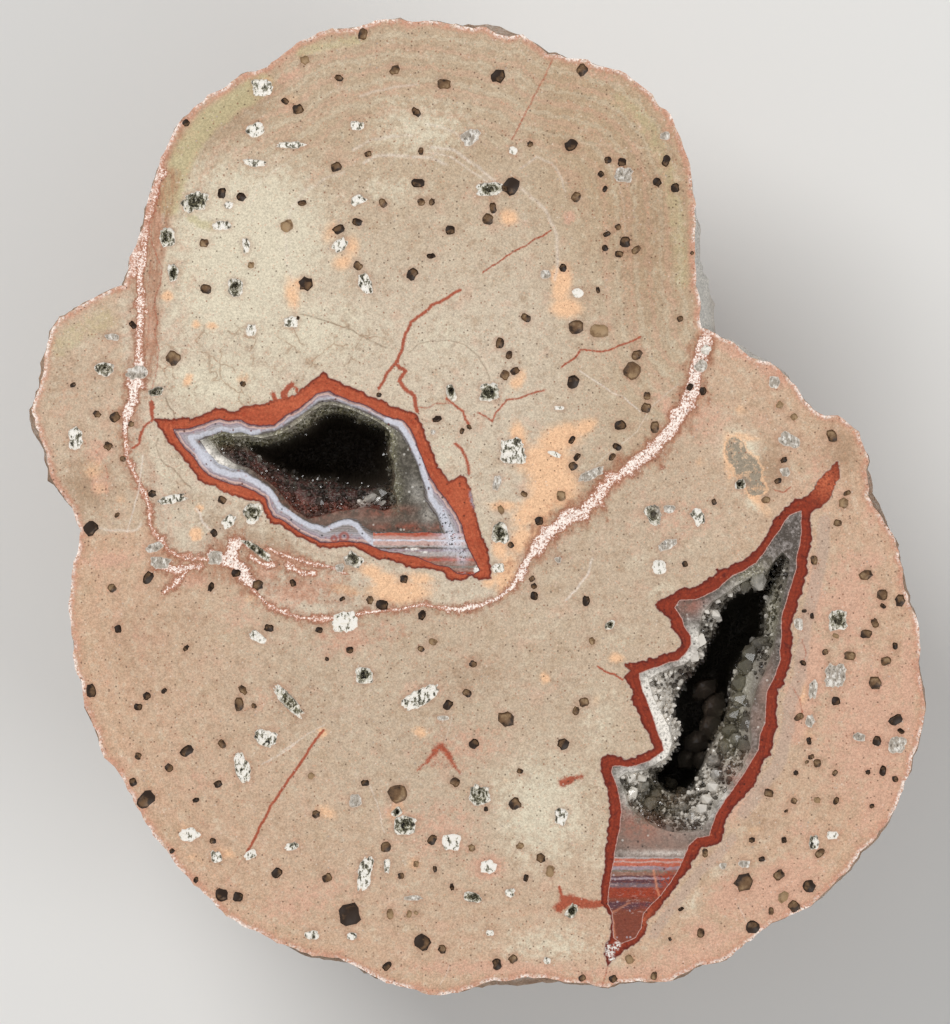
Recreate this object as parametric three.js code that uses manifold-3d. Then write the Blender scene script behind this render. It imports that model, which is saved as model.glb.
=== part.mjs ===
// A sawn and polished half of a triple thunder egg: three rhyolite lobes grown together, with two
// angular hollows lined with jasper, agate and quartz. It lies on its back with the sawn face up.
// Millimetres, +Z up, +X to the right and +Y away across the face, origin at the middle of the base.

import * as THREE from 'three';
import { mergeVertices } from 'three/addons/utils/BufferGeometryUtils.js';
import Module from 'manifold-3d';

const wasm = await Module();
wasm.setup();

// ---------------------------------------------------------------- driving dimensions

const GRID = 0.125;               // one unit of the drawing grid on the sawn face
const FACE_CENTRE = [480, 560];   // the grid point above x = 0, y = 0
const HEIGHT = 46;                // from the resting spot to the sawn face
const GAP = 0.3;                  // left between two minerals that touch
const SKIRT_FADE = 0.25;          // how far below the face the edge's own wiggles reach, in radians

const millimetres = ([u, v]) => [(u - FACE_CENTRE[0]) * GRID, (FACE_CENTRE[1] - v) * GRID];
const drawn = (points) => points.map(millimetres);

// The lobes as ellipsoids whose section at the face is the drawn edge. Points go round clockwise on
// the grid (+u right, +v down); the stretch inside a neighbour is a plain curve that nothing shows.
const LOBES = [
  {
    centre: [500, 615], depth: 48.5, columns: 70, rows: 26, bulge: 0.6, bulgeAt: -0.4,
    edge: [
      [717, 335], [752, 358], [780, 370], [803, 398], [823, 416], [845, 420], [864, 447], [869, 480],
      [884, 520], [900, 558], [908, 600], [920, 655], [925, 710], [912, 767], [889, 820], [861, 852],
      [836, 882], [804, 910], [755, 937], [726, 960], [684, 974], [643, 981], [608, 988], [574, 981],
      [500, 980], [445, 995], [406, 988], [354, 966], [312, 956], [262, 935], [216, 905], [181, 871],
      [147, 822], [117, 771], [93, 724], [77, 672], [70, 605], [78, 550], [95, 500], [140, 420],
      [230, 340], [340, 300], [460, 285], [580, 290], [660, 310],
    ],
  },
  {
    centre: [425, 303], depth: 35, columns: 54, rows: 22, bulge: 2.9, bulgeAt: 0.1,
    edge: [
      [120, 300], [135, 248], [147, 205], [158, 168], [176, 125], [205, 97], [240, 75], [265, 68],
      [310, 38], [350, 27], [395, 17], [450, 23], [505, 34], [550, 52], [600, 66], [640, 84],
      [671, 113], [688, 153], [692, 200], [694, 262], [699, 300], [703, 345], [665, 435], [600, 490],
      [538, 550], [478, 607], [400, 608], [305, 620], [228, 568], [175, 555], [137, 482], [124, 445],
      [125, 370],
    ],
  },
  {
    centre: [128, 412], depth: 15, columns: 26, rows: 12, bulge: 0.5, bulgeAt: 2.9,
    edge: [
      [120, 285], [150, 300], [185, 350], [200, 420], [180, 490], [140, 530], [100, 535], [80, 530],
      [62, 495], [46, 454], [33, 415], [43, 371], [58, 322], [80, 305], [105, 293],
    ],
  },
];

// Knobs on the rough outside: where they stand (compass and dip angles, radians), height and spread.
const KNOB = { count: 44, height: 2.1, spread: 0.14, turn: 2.399963 };

// The two hollows. Outlines from outside in; every ring deeper down is the same outline drawn in
// towards the axis by the taper.
const UPPER = {
  axis: [330, 468], levels: [0, 6, 13, 19.5, 25.5], taper: (z) => 1 - 0.6 * (z / 25.5) ** 1.5,
  rimDepth: 25.5, liningDepth: 24, quartzDepth: 22.5, cavityDepth: 21,
  rim: [
    [155, 419], [196, 417], [216, 408], [232, 413], [259, 405], [297, 394], [310, 382], [324, 372],
    [343, 384], [370, 397], [406, 410], [418, 418], [426, 436], [438, 467], [450, 482], [461, 475],
    [471, 489], [476, 516], [488, 550], [491, 580], [471, 576], [449, 579], [430, 569], [396, 562],
    [370, 557], [354, 547], [320, 548], [290, 531], [266, 517], [259, 501], [229, 494], [197, 479],
    [182, 457], [164, 435],
  ],
  lining: [
    [174, 429], [204, 425], [220, 419], [241, 421], [261, 426], [285, 417], [310, 401], [329, 391],
    [351, 401], [393, 419], [405, 422], [414, 436], [429, 478], [447, 505], [461, 525], [473, 560],
    [479, 571], [458, 572], [436, 562], [400, 552], [361, 541], [320, 541], [293, 526], [272, 512],
    [267, 497], [242, 486], [209, 475], [194, 457], [177, 436],
  ],
  quartz: [
    [202, 441], [222, 432], [242, 433], [264, 434], [288, 426], [310, 409], [325, 402], [350, 407],
    [380, 421], [400, 433], [413, 456], [423, 484], [430, 508], [446, 532], [368, 532], [348, 519],
    [325, 527], [300, 518], [283, 506], [268, 485], [243, 470], [218, 463], [208, 452],
  ],
  cavity: [
    [244, 444], [269, 443], [294, 433], [316, 421], [330, 413], [355, 418], [385, 431], [389, 446],
    [388, 453], [394, 464], [395, 486], [397, 505], [361, 502], [332, 509], [311, 516], [294, 503],
    [279, 484], [259, 465],
  ],
  // The level-laid agate fills the corner right of the first number and below the second.
  waterline: [373, 533],
  crystals: 13, druseFrom: 0.06,  // how many large crystals, and the share of the depth they start at
};

const LOWER = {
  axis: [702, 706], levels: [0, 7, 15, 22, 28], taper: (z) => 1 - 0.58 * (z / 28) ** 1.6,
  rimDepth: 28, liningDepth: 26.5, cavityDepth: 24.5,
  rim: [
    [838, 462], [839, 477], [829, 500], [810, 513], [810, 548], [807, 573], [793, 619], [791, 662],
    [778, 690], [777, 728], [765, 757], [753, 786], [732, 809], [720, 842], [701, 849], [686, 872],
    [661, 906], [647, 921], [645, 933], [628, 948], [608, 965], [605, 944], [611, 937], [611, 916],
    [601, 900], [605, 862], [610, 816], [601, 770], [601, 759], [607, 754], [626, 759], [645, 753],
    [655, 745], [638, 711], [630, 687], [626, 665], [661, 656], [682, 644], [671, 619], [655, 604],
    [681, 588], [718, 572], [739, 562], [762, 543], [784, 508], [810, 491], [825, 473],
  ],
  lining: [
    [799, 513], [799, 546], [796, 569], [781, 619], [779, 651], [767, 690], [765, 723], [751, 761],
    [724, 801], [709, 835], [697, 837], [684, 856], [677, 870], [662, 889], [648, 906], [640, 916],
    [637, 930], [628, 938], [618, 941], [617, 914], [609, 893], [613, 866], [619, 833], [621, 812],
    [612, 772], [614, 766], [636, 766], [651, 761], [664, 749], [655, 723], [643, 690], [640, 674],
    [661, 666], [686, 654], [692, 644], [685, 627], [676, 608], [680, 601], [706, 596], [733, 576],
    [757, 563], [779, 531], [789, 518],
  ],
  cavity: [
    [777, 568], [767, 588], [752, 586], [738, 591], [724, 601], [716, 626], [704, 654], [683, 684],
    [674, 700], [680, 726], [676, 752], [661, 770], [658, 781], [664, 792], [680, 802], [693, 791],
    [705, 770], [709, 753], [724, 728], [732, 690], [736, 674], [753, 646], [768, 638], [769, 598],
  ],
  waterline: [null, 857],
  crystals: 19, druseFrom: 0.26,
};

// Crystals: across-corner radius and length limits, and how deep each is set in the crust.
const CRYSTAL = { thin: 0.9, thick: 1.8, short: 1.2, long: 2.5, root: 0.7, sides: 6 };

// Pits where weathered feldspars and quartz grains left the sawn face: grid place, length and width
// on the grid, turn in degrees.
const PIT_DEPTH = 0.55;
const PIT_WALL = 0.72;            // the floor of a pit is this much of its mouth
const PITS = [
  [262, 87, 25, 18, 0], [256, 130, 18, 14, 20], [291, 145, 28, 8, 0], [195, 202, 28, 20, 10],
  [222, 225, 20, 10, 0], [235, 287, 16, 20, 0], [471, 137, 20, 14, 30], [488, 187, 24, 14, 60],
  [624, 175, 20, 14, 0], [340, 245, 18, 14, 40], [365, 284, 14, 20, 20], [578, 293, 13, 12, 0],
  [489, 392, 22, 18, 0], [513, 452, 28, 24, 0], [500, 533, 18, 15, 50], [137, 373, 20, 16, 0],
  [171, 499, 28, 10, 15], [253, 513, 19, 17, 0], [257, 550, 30, 8, -35], [160, 563, 28, 18, 0],
  [353, 560, 17, 14, -40], [774, 382, 13, 18, 0], [790, 440, 22, 14, 20], [653, 515, 20, 25, 10],
  [667, 545, 18, 11, 25], [838, 621, 18, 18, 45], [835, 675, 18, 24, 0], [898, 744, 15, 16, 0],
  [364, 675, 18, 18, 0], [420, 698, 38, 18, 35], [289, 702, 40, 12, -45], [242, 768, 14, 28, 0],
  [480, 794, 22, 18, 0], [405, 825, 24, 18, 10], [451, 842, 20, 18, 0], [365, 873, 14, 34, 0],
  [189, 835, 20, 15, 0], [473, 898, 20, 10, 0], [571, 911, 12, 15, 20], [158, 790, 20, 18, 0],
  [744, 882, 19, 18, 0], [350, 915, 21, 20, 0], [506, 719, 16, 14, 30], [398, 794, 18, 15, 0],
  [508, 186, 18, 13, 0], [739, 463, 16, 14, 0], [422, 942, 20, 13, 20], [753, 927, 13, 12, 0],
];

// ---------------------------------------------------------------- small tools

const wave = (p, scale, phase) => Math.sin(p.x * scale + phase) * Math.sin(p.y * scale * 1.13 + phase * 1.7)
  * Math.sin(p.z * scale * 0.94 + phase * 2.3);

// An even spread of numbers from 0 to 1, the same on every run.
const spread = (index, step) => (index * step) % 1;

function solidOf(geometry) {
  geometry.deleteAttribute('normal');
  geometry.deleteAttribute('uv');
  const merged = mergeVertices(geometry, 1e-5);
  return new wasm.Manifold(new wasm.Mesh({
    numProp: 3,
    vertProperties: new Float32Array(merged.attributes.position.array),
    triVerts: new Uint32Array(merged.index.array),
  }));
}

function boxSolid(low, high) {
  const size = high.map((value, axis) => value - low[axis]);
  const box = new THREE.BoxGeometry(...size);
  box.translate(...high.map((value, axis) => (value + low[axis]) / 2));
  return solidOf(box);
}

function meshOf(name, solid, colour, roughness, metalness = 0) {
  const { vertProperties, triVerts, numProp } = solid.getMesh();
  const points = new Float32Array((vertProperties.length / numProp) * 3);
  for (let i = 0; i < points.length / 3; i += 1) {
    points.set(vertProperties.subarray(i * numProp, i * numProp + 3), i * 3);
  }
  const geometry = new THREE.BufferGeometry();
  geometry.setAttribute('position', new THREE.BufferAttribute(points, 3));
  geometry.setIndex(new THREE.BufferAttribute(new Uint32Array(triVerts), 1));
  const mesh = new THREE.Mesh(geometry, new THREE.MeshStandardMaterial({ color: colour, roughness, metalness }));
  mesh.name = name;
  return mesh;
}

// ---------------------------------------------------------------- the rhyolite nodule

// Distance from a lobe's centre to its drawn edge, for any compass angle.
function edgeRadius(lobe) {
  const [cx, cy] = millimetres(lobe.centre);
  const marks = drawn(lobe.edge)
    .map(([x, y]) => ({ angle: Math.atan2(y - cy, x - cx), radius: Math.hypot(x - cx, y - cy) }))
    .sort((a, b) => a.angle - b.angle);
  const first = marks[0];
  const last = marks[marks.length - 1];
  const ring = [
    { angle: last.angle - 2 * Math.PI, radius: last.radius }, ...marks,
    { angle: first.angle + 2 * Math.PI, radius: first.radius },
  ];
  return (angle) => {
    const turned = Math.atan2(Math.sin(angle), Math.cos(angle));
    const next = ring.findIndex((mark) => mark.angle >= turned);
    const [a, b] = [ring[next - 1], ring[next]];
    return a.radius + (b.radius - a.radius) * (turned - a.angle) / (b.angle - a.angle);
  };
}

// Low knobs, spread over the underside by the golden angle.
function knobHeight(direction) {
  let height = 0;
  for (let i = 0; i < KNOB.count; i += 1) {
    const down = (i + 0.5) / KNOB.count;
    const across = Math.sqrt(1 - down * down);
    const turn = i * KNOB.turn;
    const facing = direction.x * across * Math.cos(turn) + direction.y * across * Math.sin(turn) - direction.z * down;
    const away = Math.acos(THREE.MathUtils.clamp(facing, -1, 1));
    height += KNOB.height * Math.exp(-((away / KNOB.spread) ** 2));
  }
  return height;
}

function lobeSolid(lobe) {
  const radiusAt = edgeRadius(lobe);
  const smoothAt = (angle) => {
    const samples = [-0.6, -0.4, -0.2, 0, 0.2, 0.4, 0.6].map((step) => radiusAt(angle + step));
    return samples.reduce((sum, radius) => sum + radius) / samples.length;
  };
  const [cx, cy] = millimetres(lobe.centre);
  const ball = new THREE.SphereGeometry(1, lobe.columns, lobe.rows);
  ball.rotateX(Math.PI / 2);
  const position = ball.attributes.position;
  const point = new THREE.Vector3();
  for (let i = 0; i < position.count; i += 1) {
    point.fromBufferAttribute(position, i).normalize();
    const compass = Math.atan2(point.y, point.x);
    const dip = Math.asin(THREE.MathUtils.clamp(-point.z, -1, 1));
    const below = Math.max(0, dip);
    const exact = Math.exp(-((dip / SKIRT_FADE) ** 2));
    const smooth = smoothAt(compass);
    const turn = Math.atan2(Math.sin(compass - lobe.bulgeAt), Math.cos(compass - lobe.bulgeAt));
    const bulge = lobe.bulge * Math.exp(-((turn / 0.75) ** 2)) * (below / 0.22) * Math.exp(1 - below / 0.22);
    const wide = smooth + (radiusAt(compass) - smooth) * exact + bulge;
    const reach = 1 / Math.hypot(Math.cos(dip) / wide, Math.sin(dip) / lobe.depth);
    const rough = (1 - Math.exp(-((below / 0.2) ** 2))) * lobe.depth / LOBES[0].depth;
    const place = point.clone().multiplyScalar(reach);
    const lumps = knobHeight(point) + 1.1 * wave(place, 0.19, 0.7) + 0.7 * wave(place, 0.37, 2.1);
    point.multiplyScalar(reach + rough * lumps);
    position.setXYZ(i, cx + point.x, cy + point.y, HEIGHT + point.z);
  }
  return solidOf(ball);
}

// A shallow pit with six slanting walls, sunk into the sawn face.
function pitSolid([u, v, long, wide, turn]) {
  const [x, y] = millimetres([u, v]);
  const mouth = 1 + (1 - PIT_WALL);
  const pit = new THREE.CylinderGeometry(mouth / 2, PIT_WALL / 2, PIT_DEPTH * 2, 6);
  pit.rotateX(Math.PI / 2);
  pit.scale(long * GRID, wide * GRID, 1);
  pit.rotateZ(THREE.MathUtils.degToRad(turn));
  pit.translate(x, y, HEIGHT);
  return solidOf(pit);
}

// ---------------------------------------------------------------- hollows and their linings

// Every point of a closed outline moved square to its edges by a distance, inwards when positive.
function drawnIn(outline, distance) {
  const count = outline.length;
  const area = outline.reduce((sum, [x, y], i) => {
    const [nx, ny] = outline[(i + 1) % count];
    return sum + x * ny - nx * y;
  }, 0);
  const side = Math.sign(area) * distance;
  return outline.map(([x, y], i) => {
    const [px, py] = outline[(i + count - 1) % count];
    const [nx, ny] = outline[(i + 1) % count];
    const before = new THREE.Vector2(x - px, y - py).normalize();
    const after = new THREE.Vector2(nx - x, ny - y).normalize();
    const normal = new THREE.Vector2(-before.y - after.y, before.x + after.x).normalize();
    const lean = Math.max(0.5, -before.y * normal.x + before.x * normal.y);
    return [x + normal.x * side / lean, y + normal.y * side / lean];
  });
}

// The outline of a hollow's layer at a depth below the face.
function ringAt(hollow, outline, depth, inset = 0) {
  const [ax, ay] = millimetres(hollow.axis);
  const scale = hollow.taper(depth);
  return drawnIn(drawn(outline).map(([x, y]) => [ax + (x - ax) * scale, ay + (y - ay) * scale]), inset);
}

// A closed solid that fills a hollow's layer from the face, or from above it, down to a depth.
function loft(hollow, outline, depth, { inset = 0, above = 0 } = {}) {
  const depths = hollow.levels.filter((level) => level < depth - 1);
  depths.push(depth);
  const rings = depths.map((level) => ({ z: HEIGHT - level, ring: ringAt(hollow, outline, level, inset) }));
  if (above > 0) rings.unshift({ z: HEIGHT + above, ring: ringAt(hollow, outline, 0, inset) });
  rings.reverse();
  const contour = drawn(outline);
  const shape = new THREE.Shape(contour.map(([x, y]) => new THREE.Vector2(x, y)));
  const steps = rings.length - 1;
  const body = new THREE.ExtrudeGeometry(shape, { depth: steps, steps, bevelEnabled: false });
  const position = body.attributes.position;
  for (let i = 0; i < position.count; i += 1) {
    const [x, y] = [position.getX(i), position.getY(i)];
    const corner = contour.findIndex(([px, py]) => Math.abs(px - x) < 1e-4 && Math.abs(py - y) < 1e-4);
    const { z, ring } = rings[Math.round(position.getZ(i))];
    position.setXYZ(i, ring[corner][0], ring[corner][1], z);
  }
  return solidOf(body);
}

// One pointed six-sided crystal, rooted at a place on the crust and leaning along a direction.
function crystalSolid(place, direction, radius, length, turn) {
  const profile = [
    [0, -CRYSTAL.root], [radius, -CRYSTAL.root], [radius, length - radius], [0, length + radius * 0.4],
  ].map(([x, y]) => new THREE.Vector2(x, y));
  const crystal = new THREE.LatheGeometry(profile, CRYSTAL.sides);
  crystal.rotateY(turn);
  crystal.applyQuaternion(new THREE.Quaternion().setFromUnitVectors(new THREE.Vector3(0, 1, 0), direction));
  crystal.translate(...place);
  return solidOf(crystal);
}

// Crystals stand on the cavity's wall and floor, pointing inwards and a little up.
function growCrystals(hollow) {
  const [ax, ay] = millimetres(hollow.axis);
  const crystals = [];
  for (let i = 0; i < hollow.crystals; i += 1) {
    const depth = hollow.cavityDepth * (hollow.druseFrom + (0.88 - hollow.druseFrom) * spread(i, 0.3819));
    const ring = ringAt(hollow, hollow.cavity, depth);
    const along = spread(i, 0.6180) * ring.length;
    const [a, b] = [ring[Math.floor(along)], ring[(Math.floor(along) + 1) % ring.length]];
    const part = along % 1;
    const [x, y] = [a[0] + (b[0] - a[0]) * part, a[1] + (b[1] - a[1]) * part];
    const inward = new THREE.Vector3(b[1] - a[1], a[0] - b[0], 0).normalize();
    if (inward.x * (ax - x) + inward.y * (ay - y) < 0 && Math.hypot(ax - x, ay - y) > 9) inward.negate();
    inward.z = 0.15 + 0.75 * spread(i, 0.7549);
    const size = spread(i, 0.5698);
    crystals.push(crystalSolid(
      [x, y, HEIGHT - depth], inward.normalize(),
      CRYSTAL.thin + (CRYSTAL.thick - CRYSTAL.thin) * size,
      CRYSTAL.short + (CRYSTAL.long - CRYSTAL.short) * spread(i, 0.4142), i,
    ));
  }
  return crystals.reduce((sum, crystal) => sum.add(crystal));
}

// The corner of a hollow that level-laid agate fills, as a block that a lining is cut with.
function waterlineBlock(hollow, clearance) {
  const [left, top] = hollow.waterline;
  const [, y] = millimetres([0, top]);
  const x = left === null ? -HEIGHT * 2 : millimetres([left, 0])[0];
  return boxSolid([x - clearance, -HEIGHT * 2, -1], [HEIGHT * 2, y + clearance, HEIGHT + 1]);
}

const open = { above: 1 };
const clear = { inset: GAP };

// ---------------------------------------------------------------- pieces

function noduleSolid() {
  const far = HEIGHT * 2;
  const lobes = LOBES.map(lobeSolid).reduce((sum, lobe) => sum.add(lobe));
  const sawn = lobes
    .subtract(boxSolid([-far, -far, HEIGHT], [far, far, HEIGHT * 3]))
    .subtract(boxSolid([-far, -far, -HEIGHT], [far, far, 0]));
  return PITS.map(pitSolid).reduce((rock, pit) => rock.subtract(pit), sawn)
    .subtract(loft(UPPER, UPPER.rim, UPPER.rimDepth, open))
    .subtract(loft(LOWER, LOWER.rim, LOWER.rimDepth, open));
}

function rimSolid(hollow) {
  return loft(hollow, hollow.rim, hollow.rimDepth - GAP, clear)
    .subtract(loft(hollow, hollow.lining, hollow.liningDepth, open));
}

function waterlineSolid(hollow) {
  return loft(hollow, hollow.lining, hollow.liningDepth - GAP, clear).intersect(waterlineBlock(hollow, 0));
}

function bandsSolid(hollow) {
  return loft(hollow, hollow.lining, hollow.liningDepth - GAP, clear)
    .subtract(loft(hollow, hollow.quartz, hollow.quartzDepth, open))
    .subtract(waterlineBlock(hollow, GAP));
}

function crustSolid(hollow, outside, depth) {
  const body = loft(hollow, outside, depth - GAP, clear).subtract(waterlineBlock(hollow, GAP));
  const shell = body.subtract(loft(hollow, hollow.cavity, hollow.cavityDepth, open));
  return shell.add(growCrystals(hollow)).intersect(body);
}

const group = new THREE.Group();
group.add(
  meshOf('rhyolite_nodule', noduleSolid(), '#b79c80', 0.55),
  meshOf('upper_jasper_rim', rimSolid(UPPER), '#b0492a', 0.3),
  meshOf('upper_agate_bands', bandsSolid(UPPER), '#a9a2a6', 0.2),
  meshOf('upper_waterline_agate', waterlineSolid(UPPER), '#b98c80', 0.2),
  meshOf('upper_quartz_crust', crustSolid(UPPER, UPPER.quartz, UPPER.quartzDepth), '#6f6a5f', 0.15),
  meshOf('lower_jasper_rim', rimSolid(LOWER), '#983a22', 0.3),
  meshOf('lower_waterline_agate', waterlineSolid(LOWER), '#7d3a30', 0.25),
  meshOf('lower_quartz_crust', crustSolid(LOWER, LOWER.lining, LOWER.liningDepth), '#a9a8a2', 0.12),
);

// The origin goes to the middle of the whole stone's base.
const bounds = new THREE.Box3().setFromObject(group);
group.position.set(-(bounds.min.x + bounds.max.x) / 2, -(bounds.min.y + bounds.max.y) / 2, 0);

export default group;
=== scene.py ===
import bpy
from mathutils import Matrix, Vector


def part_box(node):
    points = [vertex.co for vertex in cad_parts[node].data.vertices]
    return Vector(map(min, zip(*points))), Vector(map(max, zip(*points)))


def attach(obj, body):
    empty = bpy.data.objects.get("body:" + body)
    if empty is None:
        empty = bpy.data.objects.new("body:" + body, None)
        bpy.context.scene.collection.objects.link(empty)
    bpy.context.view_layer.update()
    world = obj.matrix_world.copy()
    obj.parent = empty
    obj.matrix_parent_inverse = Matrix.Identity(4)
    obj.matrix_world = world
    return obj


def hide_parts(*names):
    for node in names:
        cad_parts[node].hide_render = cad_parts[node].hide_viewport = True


bl_info = {
    "name": "Thunder egg",
    "version": (1, 0, 0),
    "blender": (4, 5, 0),
    "location": "3D View > Sidebar > Thunder egg",
    "description": "A sawn and polished half of a triple thunder egg, with jasper, agate and quartz",
    "category": "Add Mesh",
}

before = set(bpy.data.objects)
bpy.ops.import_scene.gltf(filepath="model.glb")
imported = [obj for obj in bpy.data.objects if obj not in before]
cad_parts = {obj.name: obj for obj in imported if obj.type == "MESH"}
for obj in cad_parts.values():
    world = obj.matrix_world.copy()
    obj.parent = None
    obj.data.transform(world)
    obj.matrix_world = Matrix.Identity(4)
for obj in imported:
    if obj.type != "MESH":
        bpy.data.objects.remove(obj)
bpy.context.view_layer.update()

import math
from functools import cached_property

import bmesh
import bpy
import numpy as np
from bpy.props import FloatProperty, FloatVectorProperty, PointerProperty
from mathutils import Vector, noise
from mathutils.geometry import delaunay_2d_cdt

# ---------------------------------------------------------------- sizes
# Lengths in this file are millimetres until a mesh is made of them; the meshes are in metres.

METRE = 0.001
SEAT = 0.3                      # gap below a lining, between it and the one around it
GRID = 0.125                    # one unit of the drawing grid on the sawn face

# The level agate of the upper hollow has two sawn sides that fix the grid in the frame.
WATER_CORNER = (373, 533)
WATER_BOX = [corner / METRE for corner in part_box("upper_waterline_agate")]
STONE_BOX = [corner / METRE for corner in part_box("rhyolite_nodule")]
FACE = STONE_BOX[1].z
FOOT = STONE_BOX[0].z
FAR = 9.0                       # stands for a distance too far to matter
REACH = 4                       # no grain or feldspar reaches further than this from its middle
SUNK = 1.4                      # nothing in the face is sunk deeper than this
PLAIN = 0.4                     # the tone of what has no tone of its own
SHARP = math.radians(32)        # edges sharper than this stay sharp
SKIN, GRAIN, FELDSPAR = 1, 2, 3     # the nodule's materials after its face
DRUSE, CLEAR, MILKY = 1, 2, 3       # a crust's materials after its polished quartz
MILKY_FROM = 0.72               # crystals lighter than this are milky
CRYSTAL_POINTS = 19             # three rings of six and a tip
noise.seed_set(12)              # so that every run draws the same natural edges
FACE_SEED = 7                   # for the scatter of the face's points and grains


def place(points):
    """Points of the drawing grid (right, down) as millimetres on the sawn face."""
    grid = np.asarray(points, float).reshape(-1, 2)
    x = WATER_BOX[0].x + (grid[:, 0] - WATER_CORNER[0]) * GRID
    y = WATER_BOX[1].y - (grid[:, 1] - WATER_CORNER[1]) * GRID
    return np.stack([x, y], 1)


# ---------------------------------------------------------------- the drawing of the sawn face

def rows(text):
    """Rows of numbers, with commas within a row and spaces between rows."""
    return [tuple(float(number) for number in row.split(",")) for row in text.split()]


def strokes(text):
    """Lines as (width, strength, the points they pass), with a semicolon between lines."""
    drawn_lines = [line.split(":") for line in text.split(";")]
    return [(*rows(head)[0], rows(points)) for head, points in drawn_lines]


# Each lobe: centre, depth, and its drawn edge, clockwise. The stretch inside a neighbour never shows.
LOBES = {
    "lower": {
        "centre": (500, 615), "depth": 48.5, "bulge": 0.6, "bulge_at": -0.4, "bulge_width": 0.75,
        "columns": 400, "rows": 122,
        "edge": rows("""
    717,335 725,339 735,345 752,358 770,362 780,370 795,385 803,398 815,411 823,416 833,415 845,420
    857,430 864,447 868,455 867,468 869,480 868,495 872,505 884,520 895,540 900,558 903,580 908,600
    915,615 919,635 920,655 918,665 921,680 925,705 921,733 915,751 912,767 906,779 899,800 889,820
    875,838 861,852 850,868 836,882 820,896 804,910 781,919 767,928 755,937 737,951 726,960 712,964
    698,966 684,974 666,981 643,981 617,983 608,988 590,984 574,981 546,978 521,978 500,980 484,983
    468,990 445,995 425,993 406,988 386,982 367,973 354,966 340,958 312,956 296,949 276,941 262,935
    246,927 230,919 216,905 207,896 181,871 165,848 152,834 147,822 125,783 117,771 106,758 99,749 98,735
    93,724 86,708 82,684 77,672 73,651 70,605 72,571 78,550 81,533 95,500 140,420 230,340 340,300 460,285
    580,290 660,310"""),
    },
    "upper": {
        "centre": (425, 303), "depth": 35.0, "bulge": 1.9, "bulge_at": -0.1, "bulge_width": 0.24,
        "columns": 288, "rows": 88,
        "edge": rows("""
    120,300 128,268 135,248 143,225 147,205 152,190 158,168 170,140 176,125 190,112 205,97 225,88 240,75
    265,68 300,42 310,38 325,30 350,28 365,26 378,20 395,18 415,22 432,21 450,24 470,28 485,27 505,37
    525,35 532,43 550,54 565,57 585,60 600,67 622,71 640,85 660,104 671,114 677,132 686,153 690,168
    693,190 695,210 695,245 695,262 696,280 699,300 700,320 703,345 695,375 683,405 665,435 640,462
    615,482 600,490 575,515 545,535 538,550 523,572 512,590 495,598 478,607 460,611 425,602 400,608
    330,614 305,620 285,615 262,600 250,585 228,568 210,560 190,558 175,555 165,545 157,530 148,500
    137,482 130,462 124,445 130,410 125,370 122,330"""),
    },
    "left": {
        "centre": (128, 412), "depth": 15.0, "bulge": 0.5, "bulge_at": 2.9, "bulge_width": 0.75,
        "columns": 130, "rows": 48,
        "edge": rows("""
    120,285 150,300 185,350 200,420 180,490 140,530 100,535 80,530 73,509 62,495 50,475 46,454 39,433
    33,415 37,392 41,387 43,371 49,337 58,322 80,305 105,293"""),
    },
}
EDGE_FADE = 0.25                # how far below the face the edge's own wiggles reach, in radians
EDGE_CHIPS = 0.3                # how far the sawn edge is chipped in and out
BULGE_DIP = 0.22                # how far below the face a lobe bulges most, in radians
CHIP_FADE = 0.08                # how far below the face the chips of the edge reach, in radians
KNOB_START = 0.2                # how far below the face the knobs are full, in radians
WART_START = 0.05               # how far below the face the warts are full, in radians
WART_SIZE = 6
KNOBS = {"count": 44, "height": 2.1, "spread": 0.14, "turn": 2.399963}
SWELLS = ((1.1, 0.19, 0.7), (0.7, 0.37, 2.1))   # height, waves to a millimetre and phase of the broad swells

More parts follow.
